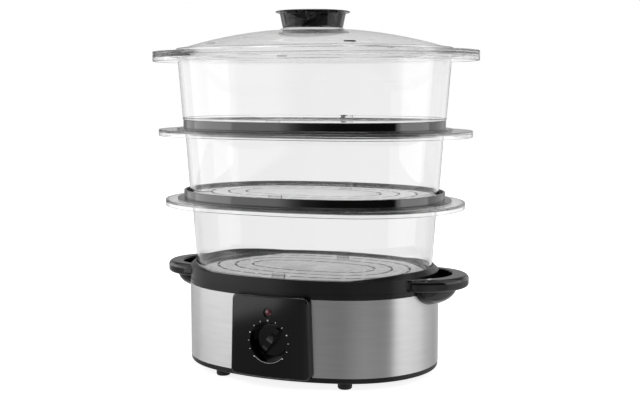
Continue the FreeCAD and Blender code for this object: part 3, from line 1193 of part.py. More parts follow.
# ---------------------------------------------------------------- write every node
def nodes():
    right = filler_handle()
    made = {
        "rubber_feet": rubber_feet(),
        "bottom_cover": bottom_cover(),
        "base_screws": base_screws(),
        "steel_band": steel_band(),
        "base_shell": base_shell(),
        "reservoir": reservoir(),
        "right_filler_handle": right,
        "left_filler_handle": mirrored(right, X_AXIS),
        "control_panel": control_panel(),
        "panel_screws": panel_screws(),
        "indicator_lens": indicator_lens(),
        "neon_lamp": neon_lamp(),
        "timer_case": timer_case(),
        "timer_bell": timer_bell(),
        "timer_screws": timer_screws(),
        "timer_shaft": timer_shaft(),
        "timer_knob": timer_knob(),
        "heater_gasket": heater_gasket(),
        "heating_plate": heating_plate(),
        "heating_element": heating_element(),
        "heater_clamp": heater_clamp(),
        "heater_screws": heater_screws(),
        "thermostat": thermostat(),
        "thermal_fuse": thermal_fuse(),
        "cord_gland": cord_gland(),
        "terminal_block": terminal_block(),
        "internal_leads": internal_leads(),
        "steam_sleeve": steam_sleeve(),
        "drip_tray": drip_tray(),
        "lid": lid(),
        "lid_knob": lid_knob(),
        "lid_knob_screw": lid_knob_screw(),
        "lid_knob_washer": lid_knob_washer(),
    }
    for level in range(3):
        made[f"basket_{level + 1}"] = basket(level)
        made[f"floor_plate_{level + 1}"] = floor_plate(level)
    for level in range(2):
        made[f"stacking_ring_{level + 1}"] = stacking_ring(level)
    return made


os.makedirs("parts", exist_ok=True)
for name, shape in nodes().items():
    size = shape.BoundBox
    ends = (size.XMin, size.XMax, size.YMin, size.YMax, size.ZMin, size.ZMax)
    print(f"{name:22s} solids {len(shape.Solids):2d} volume {shape.Volume / 1000:8.2f} cm3",
          f"valid {shape.isValid()}", " ".join(f"{value:7.1f}" for value in ends))
    shape.exportStep(f"parts/{name}.step")
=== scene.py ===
# %% [markdown]
# # An electric food steamer
# Three clear oval baskets nest above one another on black rings, over a steel base that boils water.
# The solids of every part are already built, so this lesson dresses them: it loads the solids as a fixed
# frame, gives the large mouldings the soft edges of real ones, and makes a finish for each material.
# %% Load the frame
import json
from collections import namedtuple
from math import atan2, cos, pi, radians, sin, sqrt

import bmesh
import bpy
from mathutils import Matrix, Vector


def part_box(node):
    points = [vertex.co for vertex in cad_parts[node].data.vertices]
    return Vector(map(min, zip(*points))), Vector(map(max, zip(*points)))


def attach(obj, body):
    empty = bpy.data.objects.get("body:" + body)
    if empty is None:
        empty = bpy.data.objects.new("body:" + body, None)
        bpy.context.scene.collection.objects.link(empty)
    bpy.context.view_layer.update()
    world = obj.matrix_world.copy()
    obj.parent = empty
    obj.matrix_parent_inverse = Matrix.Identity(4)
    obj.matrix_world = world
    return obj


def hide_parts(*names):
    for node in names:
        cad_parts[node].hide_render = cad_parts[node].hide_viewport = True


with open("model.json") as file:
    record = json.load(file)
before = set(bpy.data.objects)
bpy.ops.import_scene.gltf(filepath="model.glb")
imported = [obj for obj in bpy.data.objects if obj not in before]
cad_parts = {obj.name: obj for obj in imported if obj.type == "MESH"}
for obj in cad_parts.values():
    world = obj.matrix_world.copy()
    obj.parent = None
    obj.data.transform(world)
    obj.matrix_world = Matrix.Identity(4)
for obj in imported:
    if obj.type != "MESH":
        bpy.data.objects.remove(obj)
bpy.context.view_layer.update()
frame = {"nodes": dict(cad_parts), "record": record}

nodes = frame["nodes"]

# %% [markdown]
# ## Sizes
# Everything is drawn in millimetres and made smaller by one factor when a piece is finished. The walls and
# the ovals are the ones that the mouldings are drawn with. The heights of the baskets, rings, lid and knob
# are read from the frame, so that they stand where their solids stand.
# %% Sizes in millimetres
MM = 0.001
Oval = namedtuple("Oval", "half_length half_depth end_radius")
BASE = Oval(131.0, 97.5, 91.0)
RING = Oval(136.7, 101.9, 96.0)
OVAL_WAIST, OVAL_CORNER = 34.8, 6.0
BASKET_BOTTOM_HALF = (123.8, 130.3, 136.7)
BASKET_TOP_HALF = (128.6, 135.1, 142.2)
FLANGE_HALF_LENGTH = (157.0, 164.0, 170.0)
FLANGE_HALF_DEPTH = (111.0, 112.5, 114.0)
FLANGE_CORNER = 4.0
PANEL_PROUD = 8.3
DIAL_Z = 45.9


def low_high(node):
    """Lowest and highest corner of a solid, in millimetres."""
    low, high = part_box(node)
    return low / MM, high / MM


BASKET_Z = [low_high(f"basket_{tier}")[0].z for tier in (1, 2, 3)]
BASKET_TOP_Z = [low_high(f"basket_{tier}")[1].z for tier in (1, 2, 3)]
RING_Z = [BASKET_TOP_Z[0], BASKET_TOP_Z[1]]
LID_Z = BASKET_TOP_Z[2]
print("baskets stand at", [round(z, 1) for z in BASKET_Z], "and end at", [round(z, 1) for z in BASKET_TOP_Z])

# %% [markdown]
# ## Ovals
# Each level of the steamer is an oval of four arcs that run into one another: two tight ends and two long
# sides. A station from 0 to 4 counts along them, so that two ovals of different sizes can be joined point
# for point. A plain number stands for a circle.
# %% Points on an oval
STATIONS = 176
CIRCLE_TURN = radians(68)


def grow(oval, by):
    return Oval(oval.half_length + by, oval.half_depth + by, oval.end_radius + by)


def share_of(oval, share):
    return Oval(*(size * share for size in oval))


def basket_oval(half_length):
    half_depth = half_length - OVAL_WAIST
    return Oval(half_length, half_depth, half_depth - OVAL_CORNER)


def flange_oval(tier):
    half_depth = FLANGE_HALF_DEPTH[tier]
    return Oval(FLANGE_HALF_LENGTH[tier], half_depth, half_depth - FLANGE_CORNER)


def side_radius(oval):
    length, depth, end = oval
    return ((length - end) ** 2 + depth ** 2 - end ** 2) / (2 * (depth - end))


def outline_point(outline, station):
    """Right end, back, left end and front are stations 0, 1, 2 and 3."""
    arc, part = divmod(station, 1)
    if isinstance(outline, Oval):
        length, depth, end = outline
        side = side_radius(outline)
        turn = atan2(side - depth, length - end)
    else:
        length = depth = end = side = outline
        turn = CIRCLE_TURN
    if arc in (0, 2):
        angle = (2 * part - 1) * turn
        x, y = length - end + end * cos(angle), end * sin(angle)
    else:
        angle = turn + part * (pi - 2 * turn)
        x, y = side * cos(angle), side * sin(angle) - (side - depth)
    return (-x, -y) if arc >= 2 else (x, y)


print("base oval side radius", round(side_radius(BASE), 1), "mm")

# %% [markdown]
# ## One loop, many levels
# A moulded shell is a loop that is extruded from level to level: up the outside, over the rim and down the
# inside, until it meets itself. Extruding keeps the loops in step, and each new loop is then moved onto its
# own outline. The doubles are merged at the seam before the normals are worked out.
# %% The shell maker
MERGE = 0.001


def shell(levels):
    """A closed moulding through a list of (outline, height)."""
    bm = bmesh.new()
    station = bm.verts.layers.float.new("station")
    made = bmesh.ops.create_circle(bm, segments=STATIONS, radius=1)
    for index, vert in enumerate(made["verts"]):
        vert[station] = 4 * index / STATIONS
    loop = list(bm.edges)
    verts = made["verts"]
    for count, (outline, z) in enumerate(levels + levels[:1]):
        if count:
            made = bmesh.ops.extrude_edge_only(bm, edges=loop)["geom"]
            verts = [item for item in made if isinstance(item, bmesh.types.BMVert)]
            loop = [item for item in made if isinstance(item, bmesh.types.BMEdge) and item.is_boundary]
        for vert in verts:
            vert.co = (*outline_point(outline, vert[station]), z)
    bmesh.ops.remove_doubles(bm, verts=bm.verts, dist=MERGE)
    bmesh.ops.recalc_face_normals(bm, faces=bm.faces)
    return bm


SHARP_TURN = radians(32)


def round_edges(bm, edges, width, segments):
    """Replace edges by a round of some width."""
    bmesh.ops.bevel(bm, geom=edges, offset=width, offset_type="OFFSET", segments=segments, profile=0.5,
                    affect="EDGES", clamp_overlap=True, material=-1)


def soften(bm, width, segments=3):
    """Round every edge that turns sharply."""
    sharp = [edge for edge in bm.edges if edge.is_manifold and edge.calc_face_angle(0) > SHARP_TURN]
    round_edges(bm, sharp, width, segments)


# %% [markdown]
# A turned piece, such as the lid's knob, is half a section spun once round its axis. The full spin merges
# its seam, and points on the axis become one.
# %% The lathe
LATHE_STEPS = 96


def lathe(section):
    """A section of (radius, height) points spun about the upright axis."""
    bm = bmesh.new()
    verts = [bm.verts.new((radius, 0, z)) for radius, z in section]
    edges = [bm.edges.new((one, two)) for one, two in zip(verts, verts[1:] + verts[:1])]
    bmesh.ops.spin(bm, geom=verts + edges, cent=(0, 0, 0), axis=(0, 0, 1), angle=2 * pi, steps=LATHE_STEPS,
                   use_merge=True)
    bmesh.ops.remove_doubles(bm, verts=bm.verts, dist=MERGE)
    bmesh.ops.recalc_face_normals(bm, faces=bm.faces)
    return bm


# %% [markdown]
# The smaller mouldings keep the shape of their solids. A copy is merged, its flat faces are joined, and its
# edges get the small round that a real mould gives them.
# %% A solid with eased edges
SOLID_MERGE, FLAT_TURN = 0.002, radians(0.6)


def eased(node, width, segments=2):
    """The solid of a node, with its sharp edges rounded, in millimetres."""
    bm = bmesh.new()
    bm.from_mesh(nodes[node].data)
    bmesh.ops.scale(bm, vec=(1 / MM,) * 3, verts=bm.verts)
    bmesh.ops.remove_doubles(bm, verts=bm.verts, dist=SOLID_MERGE)
    bmesh.ops.dissolve_limit(bm, angle_limit=FLAT_TURN, verts=bm.verts, edges=bm.edges)
    if width:
        soften(bm, width, segments)
    return bm


# %% [markdown]
# Every piece is finished the same way: it is made small, smoothed between its gentle faces, given its
# # material, put on the body that carries it, and the solid that it stands for is hidden.
# %% Finish a piece
SMOOTH_TURN = 38


def finish(name, bm, material, *replaced, smooth=SMOOTH_TURN):
    bmesh.ops.scale(bm, vec=(MM,) * 3, verts=bm.verts)
    mesh = bpy.data.meshes.new(name)
    bm.to_mesh(mesh)
    bm.free()
    mesh.shade_smooth()
    mesh.set_sharp_from_angle(angle=radians(smooth))
    mesh.materials.append(material)
    piece = bpy.data.objects.new(name, mesh)
    bpy.context.scene.collection.objects.link(piece)
    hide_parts(*replaced)
    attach(piece, body_of[replaced[0]])
    keep_flat(piece)
    print(f"{name}: {len(mesh.polygons)} faces")
    return piece


def keep_flat(piece):
    """Let each large face turn the normals at its edges, so that it stays flat beside its small rounds."""
    piece.modifiers.new("flat faces stay flat", "WEIGHTED_NORMAL").keep_sharp = True


body_of = {node: body for body, group in frame["record"]["behaviour"]["bodies"].items() for node in group}

# %% [markdown]
# ## Effects that several finishes share
# Moulded plastic is never perfectly even. A spark-eroded mould leaves a fine grain, the flow of the plastic
# leaves wide, shallow waves, and handling leaves soft patches of shine. Brushed metal has fine scratches that
# run one way. Each effect is a node group with named sockets that puts out a height or a mask, and each
# material uses it with its own values.
# %% Group helpers
def new_group(name, inputs, outputs):
    group = bpy.data.node_groups.new(name, "ShaderNodeTree")
    for label, value in inputs.items():
        socket = group.interface.new_socket(label, in_out="INPUT", socket_type="NodeSocketFloat")
        socket.default_value = value
    for label in outputs:
        group.interface.new_socket(label, in_out="OUTPUT", socket_type="NodeSocketFloat")
    return group, group.nodes.new("NodeGroupInput"), group.nodes.new("NodeGroupOutput")


def add(tree, kind, **values):
    """A node with values set by input name or by attribute."""
    node = tree.nodes.new(kind)
    for key, value in values.items():
        if key in node.inputs:
            node.inputs[key].default_value = value
        else:
            setattr(node, key, value)
    return node


def sums(tree, operation, first, second):
    """A Math node; each side is a socket or a number."""
    node = add(tree, "ShaderNodeMath", operation=operation)
    for socket, side in zip(node.inputs, (first, second)):
        if isinstance(side, (int, float)):
            socket.default_value = side
        else:
            tree.links.new(side, socket)
    return node.outputs[0]


# %% Fine mould grain
grain_sizes = {"Size": 900.0, "Patch size": 40.0}
grain, grain_in, grain_out = new_group("Mould grain", grain_sizes, ["Height", "Patches"])
place = add(grain, "ShaderNodeTexCoord")
fine = add(grain, "ShaderNodeTexNoise", Detail=3.0, Roughness=0.6)
wide = add(grain, "ShaderNodeTexNoise", Detail=2.0, Roughness=0.5)
for noise, size in ((fine, "Size"), (wide, "Patch size")):
    grain.links.new(place.outputs["Object"], noise.inputs["Vector"])
    grain.links.new(grain_in.outputs[size], noise.inputs["Scale"])
grain.links.new(fine.outputs["Fac"], grain_out.inputs["Height"])
grain.links.new(wide.outputs["Fac"], grain_out.inputs["Patches"])
print("group", grain.name)

# %% Soft handling marks
MARKS_FROM, MARKS_TO = 0.32, 0.68
touch_sizes = {"Size": 22.0, "Least": 0.0, "Most": 0.1}
touch, touch_in, touch_out = new_group("Handling marks", touch_sizes, ["Shine"])
place = add(touch, "ShaderNodeTexCoord")
smear = add(touch, "ShaderNodeTexNoise", Detail=4.0, Roughness=0.65, Distortion=0.6)
reach = add(touch, "ShaderNodeMapRange")
touch.links.new(place.outputs["Object"], smear.inputs["Vector"])
touch.links.new(touch_in.outputs["Size"], smear.inputs["Scale"])
touch.links.new(smear.outputs["Fac"], reach.inputs["Value"])
reach.inputs["From Min"].default_value = MARKS_FROM
reach.inputs["From Max"].default_value = MARKS_TO
touch.links.new(touch_in.outputs["Least"], reach.inputs["To Min"])
touch.links.new(touch_in.outputs["Most"], reach.inputs["To Max"])
touch.links.new(reach.outputs["Result"], touch_out.inputs["Shine"])
print("group", touch.name)

# %% Brushing that runs round the base
BROAD_STREAKS = (0.6, 0.6, 0.12)
brush_sizes = {"Along": 14.0, "Across": 2600.0}
brush, brush_in, brush_out = new_group("Brushing", brush_sizes, ["Height", "Streaks"])
place = add(brush, "ShaderNodeTexCoord")
split = add(brush, "ShaderNodeSeparateXYZ")
brush.links.new(place.outputs["Object"], split.inputs[0])
joined = add(brush, "ShaderNodeCombineXYZ")
for axis, size in (("X", "Along"), ("Y", "Along"), ("Z", "Across")):
    brush.links.new(sums(brush, "MULTIPLY", split.outputs[axis], brush_in.outputs[size]), joined.inputs[axis])
hair = add(brush, "ShaderNodeTexNoise", Scale=1.0, Detail=3.0, Roughness=0.7)
brush.links.new(joined.outputs[0], hair.inputs["Vector"])
broad = add(brush, "ShaderNodeVectorMath", operation="MULTIPLY")
broad.inputs[1].default_value = BROAD_STREAKS
brush.links.new(joined.outputs[0], broad.inputs[0])
streak = add(brush, "ShaderNodeTexNoise", Scale=1.0, Detail=2.0, Roughness=0.5)
brush.links.new(broad.outputs[0], streak.inputs["Vector"])
brush.links.new(hair.outputs["Fac"], brush_out.inputs["Height"])
brush.links.new(streak.outputs["Fac"], brush_out.inputs["Streaks"])
print("group", brush.name)

# %% [markdown]
# ## The finishes
# A helper starts a material with its plain values on the shader's own sockets, and adds the grain. Colour
# that changes over the surface is a ramp between two near colours.
# %% Material helpers
TINT_FROM, TINT_TO = 0.3, 0.7


def finish_of(name, colour, roughness, **plain):
    material = bpy.data.materials.new(name)
    material.use_nodes = True
    tree = material.node_tree
    shader = tree.nodes["Principled BSDF"]
    shader.inputs["Base Color"].default_value = (*colour, 1)
    shader.inputs["Roughness"].default_value = roughness
    for label, value in plain.items():
        shader.inputs[label.replace("_", " ")].default_value = value
    return material, tree, shader


def use_group(tree, group, **values):
    node = add(tree, "ShaderNodeGroup", node_tree=group)
    for label, value in values.items():
        node.inputs[label.replace("_", " ")].default_value = value
    return node


def bump(tree, shader, height, distance, strength=1.0):
    node = add(tree, "ShaderNodeBump", Strength=strength, Distance=distance)
    tree.links.new(height, node.inputs["Height"])
    tree.links.new(node.outputs["Normal"], shader.inputs["Normal"])


def tint(tree, shader, mask, dark, light):
    """Base colour that moves between two near colours with a mask."""
    ramp = add(tree, "ShaderNodeValToRGB")
    ramp.color_ramp.elements[0].color = (*dark, 1)
    ramp.color_ramp.elements[0].position = TINT_FROM
    ramp.color_ramp.elements[1].color = (*light, 1)
    ramp.color_ramp.elements[1].position = TINT_TO
    tree.links.new(mask, ramp.inputs["Fac"])
    tree.links.new(ramp.outputs["Color"], shader.inputs["Base Color"])


def moulded(name, dark, light, least, most, grain_size, grain_depth, **plain):
    """Opaque moulded plastic or rubber: two near colours, uneven shine and a fine grain."""
    material, tree, shader = finish_of(name, light, least, **plain)
    grains = use_group(tree, grain, Size=grain_size)
    marks = use_group(tree, touch, Least=least, Most=most)
    tint(tree, shader, grains.outputs["Patches"], dark, light)
    tree.links.new(marks.outputs["Shine"], shader.inputs["Roughness"])
    bump(tree, shader, grains.outputs["Height"], grain_depth * MM)
    return material


# %% [markdown]
# The black parts are three finishes of the same plastic. The shell has a fine satin texture that hides
# scratches, the handles, panel and knobs are glossy, and the stacking rings mirror the most. The indicator's
# lens is a deep red that looks nearly opaque while the lamp behind it is off.
# %% Black and pale plastics
satin_black = moulded("Satin black", (0.005, 0.005, 0.005), (0.007, 0.007, 0.007), 0.20, 0.27, 1500, 0.03,
                      Specular_IOR_Level=0.35)
gloss_black = moulded("Gloss black", (0.002, 0.002, 0.002), (0.003, 0.003, 0.003), 0.05, 0.07, 260, 0.001)
red_lens = moulded("Red lens", (0.08, 0.002, 0.010), (0.11, 0.003, 0.016), 0.04, 0.06, 300, 0.001,
                   Specular_IOR_Level=1.0)
ring_black = moulded("Polished black", (0.002, 0.002, 0.002), (0.003, 0.003, 0.003), 0.05, 0.07, 260, 0.001,
                     Specular_IOR_Level=1.0)
tray_black = moulded("Tray black", (0.030, 0.030, 0.031), (0.038, 0.038, 0.040), 0.34, 0.44, 1200, 0.04)
rubber = moulded("Foot rubber", (0.014, 0.014, 0.014), (0.024, 0.024, 0.024), 0.62, 0.75, 1700, 0.06)
silicone = moulded("Silicone", (0.36, 0.10, 0.07), (0.42, 0.13, 0.09), 0.45, 0.55, 900, 0.03)
pale_plastic = moulded("Pale plastic", (0.60, 0.59, 0.55), (0.66, 0.65, 0.61), 0.34, 0.44, 900, 0.02)
ceramic = moulded("Ceramic", (0.70, 0.68, 0.63), (0.78, 0.76, 0.72), 0.28, 0.40, 600, 0.02)
lead_skin = moulded("Lead insulation", (0.16, 0.06, 0.03), (0.22, 0.08, 0.04), 0.38, 0.50, 800, 0.02)
white_print = moulded("White print", (0.66, 0.66, 0.65), (0.76, 0.76, 0.75), 0.45, 0.60, 1800, 0.01)
print("plastics ready")


# %% [markdown]
# Brushed steel is bright metal with long fine scratches round the band. The scratches tilt light up and
# down but hardly sideways, which is why its reflections smear into upright bands with rather crisp sides.
# The shader's tangent points up the band, so that the smear runs that way.
# %% Metals
STREAK_DULLER, STREAK_BRIGHTER, HAIR_STRENGTH = 0.05, 0.04, 0.5


def brushed(name, dark, light, roughness, depth, along, across, smear=0.0):
    material, tree, shader = finish_of(name, light, roughness, Metallic=1.0)
    hairs = use_group(tree, brush, Along=along, Across=across)
    tint(tree, shader, hairs.outputs["Streaks"], dark, light)
    shine = add(tree, "ShaderNodeMapRange")
    tree.links.new(hairs.outputs["Streaks"], shine.inputs["Value"])
    shine.inputs["To Min"].default_value = roughness - STREAK_BRIGHTER
    shine.inputs["To Max"].default_value = roughness + STREAK_DULLER
    tree.links.new(shine.outputs["Result"], shader.inputs["Roughness"])
    bump(tree, shader, hairs.outputs["Height"], depth * MM, HAIR_STRENGTH)
    if smear:
        shader.inputs["Anisotropic"].default_value = smear
        upward = add(tree, "ShaderNodeCombineXYZ", Z=1.0)
        tree.links.new(upward.outputs["Vector"], shader.inputs["Tangent"])
    return material


steel = brushed("Brushed steel", (0.54, 0.54, 0.54), (0.58, 0.58, 0.58), 0.32, 0.006, 40.0, 3200.0,
                smear=0.85)
pressed_steel = brushed("Pressed steel", (0.45, 0.44, 0.43), (0.56, 0.55, 0.54), 0.30, 0.01, 300.0, 300.0)
zinc = brushed("Bright zinc", (0.55, 0.56, 0.58), (0.66, 0.67, 0.69), 0.24, 0.01, 700.0, 700.0)
aluminium = brushed("Pressed aluminium", (0.62, 0.62, 0.62), (0.72, 0.72, 0.72), 0.36, 0.01, 260.0, 260.0)
nickel = brushed("Nickel", (0.60, 0.58, 0.53), (0.70, 0.68, 0.63), 0.14, 0.004, 120.0, 120.0)
sheath = moulded("Oxidised sheath", (0.05, 0.045, 0.04), (0.09, 0.08, 0.07), 0.42, 0.58, 900, 0.02,
                 Metallic=0.8)
print("metals ready")


# %% [markdown]
# The baskets, floor plates and lid are clear plastic. Light has to bend through both faces of each wall, so
# these are closed walls of real thickness. Lamps are let through by a Transparent shader for shadow rays
# only, or the food space would be dark. The plastic also takes up a little light along its way, which hardly
# shows across a wall but draws its outline, where the eye looks along it.
# %% Clear plastics
CLEAR_IOR = 1.49
SHADOW_TINT = (0.93, 0.93, 0.93, 1)
SMOKE, SMOKE_GREY = 12.0, (0.5, 0.5, 0.5, 1)
WAVE_SIZE, WAVE_STRENGTH = 9.0, 0.6


def clear(name, colour, roughness, wave_depth):
    material, tree, shader = finish_of(name, colour, roughness, Transmission_Weight=1.0, IOR=CLEAR_IOR)
    flow = use_group(tree, grain, Patch_size=WAVE_SIZE)
    bump(tree, shader, flow.outputs["Patches"], wave_depth * MM, WAVE_STRENGTH)
    rays = add(tree, "ShaderNodeLightPath")
    passing = add(tree, "ShaderNodeBsdfTransparent")
    passing.inputs["Color"].default_value = SHADOW_TINT
    mix = add(tree, "ShaderNodeMixShader")
    tree.links.new(rays.outputs["Is Shadow Ray"], mix.inputs["Fac"])
    tree.links.new(shader.outputs["BSDF"], mix.inputs[1])
    tree.links.new(passing.outputs["BSDF"], mix.inputs[2])
    tree.links.new(mix.outputs["Shader"], tree.nodes["Material Output"].inputs["Surface"])
    smoke = add(tree, "ShaderNodeVolumeAbsorption", Density=SMOKE)
    smoke.inputs["Color"].default_value = SMOKE_GREY
    tree.links.new(smoke.outputs["Volume"], tree.nodes["Material Output"].inputs["Volume"])
    return material


clear_basket = clear("Clear basket plastic", (0.96, 0.96, 0.96), 0.0, 0.12)
clear_plate = clear("Clear plate plastic", (0.86, 0.86, 0.86), 0.05, 0.03)
clear_lid = clear("Clear lid plastic", (0.96, 0.96, 0.96), 0.0, 0.12)
lamp_glass = clear("Lamp glass", (0.95, 0.80, 0.70), 0.05, 0.02)
print("clear plastics ready")

# %% [markdown]
# ## Baskets
# A basket is one thin wall from the ledge that carries the floor plate up to a wide flange with a short
# skirt. The three sizes share one family of ovals, each about six and a half millimetres longer at either end
# than the one below. The top basket steps in at its foot to sit inside the upper ring. Pieces that lie on one
# another keep a film of air between them, or light would not leave the clear plastic as it does.
# %% The three baskets
BASKET_WALL, LEDGE_WIDTH, LEDGE_THICK = 2.2, 4.8, 1.35
FLANGE_PLATE, FLANGE_SKIRT, FLANGE_HEIGHT = 2.4, 2.0, 6.4
FOOT_HEIGHT = 5.0
RING_WALL, LOOSE = 2.2, 0.6
AIR, BASKET_ROUND = 0.12, 0.55


def basket_half(tier, z):
    share = (z - BASKET_Z[tier]) / (BASKET_TOP_Z[tier] - BASKET_Z[tier])
    return BASKET_BOTTOM_HALF[tier] + (BASKET_TOP_HALF[tier] - BASKET_BOTTOM_HALF[tier]) * share


def wall_at(tier, z, inset=0.0):
    return grow(basket_oval(basket_half(tier, z)), -inset)


def basket_levels(tier):
    low, high = BASKET_Z[tier] + AIR, BASKET_TOP_Z[tier] - AIR
    plate_z, skirt_z = high - FLANGE_PLATE, high - FLANGE_HEIGHT
    flange = flange_oval(tier)
    if tier < 2:
        outside = [(wall_at(tier, low), low)]
        inside = [(wall_at(tier, low + LEDGE_THICK, BASKET_WALL), low + LEDGE_THICK)]
        ledge = wall_at(tier, low, BASKET_WALL + LEDGE_WIDTH)
    else:
        step = low + FOOT_HEIGHT
        foot = grow(RING, -RING_WALL - LOOSE)
        outside = [(foot, low), (foot, step), (wall_at(tier, step), step)]
        inner = grow(foot, -BASKET_WALL)
        inside = [(wall_at(tier, step + BASKET_WALL, BASKET_WALL), step + BASKET_WALL),
                  (inner, step + BASKET_WALL), (inner, low + LEDGE_THICK)]
        ledge = grow(inner, -LEDGE_WIDTH)
    levels = [(ledge, low)] + outside
    levels += [(wall_at(tier, plate_z), plate_z), (grow(flange, -FLANGE_SKIRT), plate_z)]
    levels += [(grow(flange, -FLANGE_SKIRT), skirt_z), (flange, skirt_z), (flange, high)]
    levels += [(wall_at(tier, high, BASKET_WALL), high)] + inside + [(ledge, low + LEDGE_THICK)]
    return levels


for tier in range(3):
    bm = shell(basket_levels(tier))
    soften(bm, BASKET_ROUND)
    finish(f"clear_basket_{tier + 1}", bm, clear_basket, f"basket_{tier + 1}")

# %% [markdown]
# ## Stacking rings
# A ring caps one basket and carries the next. It is polished black, with a thin lip outside, a shelf inside
# and a skirt that locates it in the basket below.
# %% The two rings
RING_HEIGHT, RING_LIP, RING_LIP_REACH, RING_SHELF = 9.6, 1.6, 6.9, 3.4
RING_SKIRT, RING_SKIRT_DEPTH, RING_ROUND = 1.8, 5.0, 0.45
for tier in range(2):
    low = RING_Z[tier]
    top, shelf, skirt_z = low + RING_HEIGHT, low + RING_SHELF, low - RING_SKIRT_DEPTH
    skirt = wall_at(tier, skirt_z, BASKET_WALL + LOOSE)
    opening = grow(skirt, -RING_SKIRT)
    inner = grow(RING, -RING_WALL)
    lip = grow(RING, RING_LIP_REACH)
    bm = shell([(opening, skirt_z), (skirt, skirt_z), (skirt, low), (lip, low),
                (lip, low + RING_LIP), (RING, low + RING_LIP), (RING, top), (inner, top),
                (inner, shelf), (opening, shelf)])
    soften(bm, RING_ROUND)
    finish(f"black_ring_{tier + 1}", bm, ring_black, f"stacking_ring_{tier + 1}")

# %% [markdown]
# ## Floor plates
# The plates keep the shape of their solids, which already have every slot, bead and finger tab, and get
# eased edges.
# %% The three floor plates
for tier in (1, 2, 3):
    finish(f"clear_floor_{tier}", eased(f"floor_plate_{tier}", 0.25, 1), clear_plate, f"floor_plate_{tier}")

# %% [markdown]
# ## Lid
# The lid is a flat flange, a raised step and a shallow dome. The dome's ovals shrink towards the middle and
# turn into a circle there, where a small cone makes a flat seat for the knob. The step's corner is well
# rounded: light that enters there is bent down into the steamer, and isn't piped along inside the dome.
# %% The lid
LID_PLATE, LID_STEP_HEIGHT, LID_STEP_HALF, LID_DOME_HALF = 3.4, 3.3, 144.0, 137.5
LID_RISE, LID_POWER, LID_WALL = 19.5, 2.1, 2.4
STEP_ROUND, STEP_ROUND_TURN, LID_ROUND = 2.3, 15, 0.5
LID_SKIRT, LID_SKIRT_DEPTH = 1.8, 5.5
SEAT_TOP, SEAT_FLARE, SEAT_HOLE = 30.0, 36.5, 2.2
SEAT_DROP, SEAT_PROUD, SEAT_TOP_WALL = 3.0, 0.9, 1.4
DOME_SHARES = (1.0, 0.97, 0.92, 0.86, 0.78, 0.69, 0.6, 0.51, 0.43, 0.36)
DOME_Z = LID_Z + LID_PLATE + LID_STEP_HEIGHT
DOME_TOP_Z = DOME_Z + LID_RISE
GRIP_Z = DOME_TOP_Z + SEAT_PROUD


def dome(share, drop=0.0):
    outline = grow(share_of(basket_oval(LID_DOME_HALF), share), -drop * share)
    return outline, DOME_TOP_Z - LID_RISE * share ** LID_POWER - drop


skirt_z = LID_Z - LID_SKIRT_DEPTH
skirt = wall_at(2, skirt_z, BASKET_WALL + LOOSE)
room = basket_oval(LID_DOME_HALF - LID_WALL)
seat_z = DOME_TOP_Z - SEAT_DROP
levels = [(grow(skirt, -LID_SKIRT), skirt_z), (skirt, skirt_z), (skirt, LID_Z + AIR)]
levels += [(flange_oval(2), LID_Z + AIR), (flange_oval(2), LID_Z + LID_PLATE)]
levels.append((basket_oval(LID_STEP_HALF), LID_Z + LID_PLATE))
for degrees in range(0, 91, STEP_ROUND_TURN):
    turn = radians(degrees)
    half = LID_STEP_HALF - STEP_ROUND * (1 - cos(turn))
    levels.append((basket_oval(half), DOME_Z - STEP_ROUND * (1 - sin(turn))))
levels += [dome(share) for share in DOME_SHARES]
levels += [(SEAT_FLARE, seat_z), (SEAT_TOP, GRIP_Z), (SEAT_HOLE, GRIP_Z), (SEAT_HOLE, GRIP_Z - LID_WALL)]
levels += [(SEAT_TOP - SEAT_TOP_WALL, GRIP_Z - LID_WALL), (SEAT_FLARE - LID_WALL, seat_z - LID_WALL)]
levels += [dome(share, LID_WALL) for share in reversed(DOME_SHARES[1:])]
levels += [(room, DOME_Z - LID_WALL), (room, LID_Z + AIR), (grow(skirt, -LID_SKIRT), LID_Z + AIR)]
bm = shell(levels)
soften(bm, LID_ROUND)
clear_dome = finish("clear_lid", bm, clear_lid, "lid")

# %% [markdown]
# Four short vents let the steam out. Each is a rounded slot, cut through the dome where the solid has it.
# %% The lid's vents
VENT_X, VENT_Y, VENT_TURN = 73.0, 80.0, 22
VENT_LENGTH, VENT_WIDTH, VENT_DEPTH = 11.0, 2.6, 30.0
VENT_END_ROUND, VENT_END_STEPS, VENT_START = 0.45 * VENT_WIDTH, 4, 2.0
bm = bmesh.new()
for side, end in ((1, 1), (1, -1), (-1, 1), (-1, -1)):
    made = bmesh.ops.create_cube(bm, size=1)["verts"]
    bmesh.ops.scale(bm, vec=(VENT_LENGTH, VENT_WIDTH, VENT_DEPTH), verts=made)
    edges = [edge for edge in bm.edges if edge.verts[0] in made]
    upright = [edge for edge in edges if edge.verts[0].co.z != edge.verts[1].co.z]
    rounded = bmesh.ops.bevel(bm, geom=upright, offset=VENT_END_ROUND, offset_type="OFFSET",
                              segments=VENT_END_STEPS, profile=0.5, affect="EDGES", material=-1)
    block = list(set(made) & set(bm.verts) | set(rounded["verts"]))
    turn = Matrix.Rotation(radians(-VENT_TURN * side * end), 3, "Z")
    bmesh.ops.rotate(bm, cent=(0, 0, 0), matrix=turn, verts=block)
    lift = DOME_Z + VENT_DEPTH / 2 - VENT_START
    bmesh.ops.translate(bm, vec=(side * VENT_X, end * VENT_Y, lift), verts=block)
bmesh.ops.scale(bm, vec=(MM,) * 3, verts=bm.verts)
cutter_mesh = bpy.data.meshes.new("vent cutters")
bm.to_mesh(cutter_mesh)
bm.free()
cutters = bpy.data.objects.new("vent_cutters", cutter_mesh)
bpy.context.scene.collection.objects.link(cutters)
clear_dome.modifiers.clear()
cut = clear_dome.modifiers.new("vents", "BOOLEAN")
cut.operation, cut.solver, cut.object = "DIFFERENCE", "EXACT", cutters
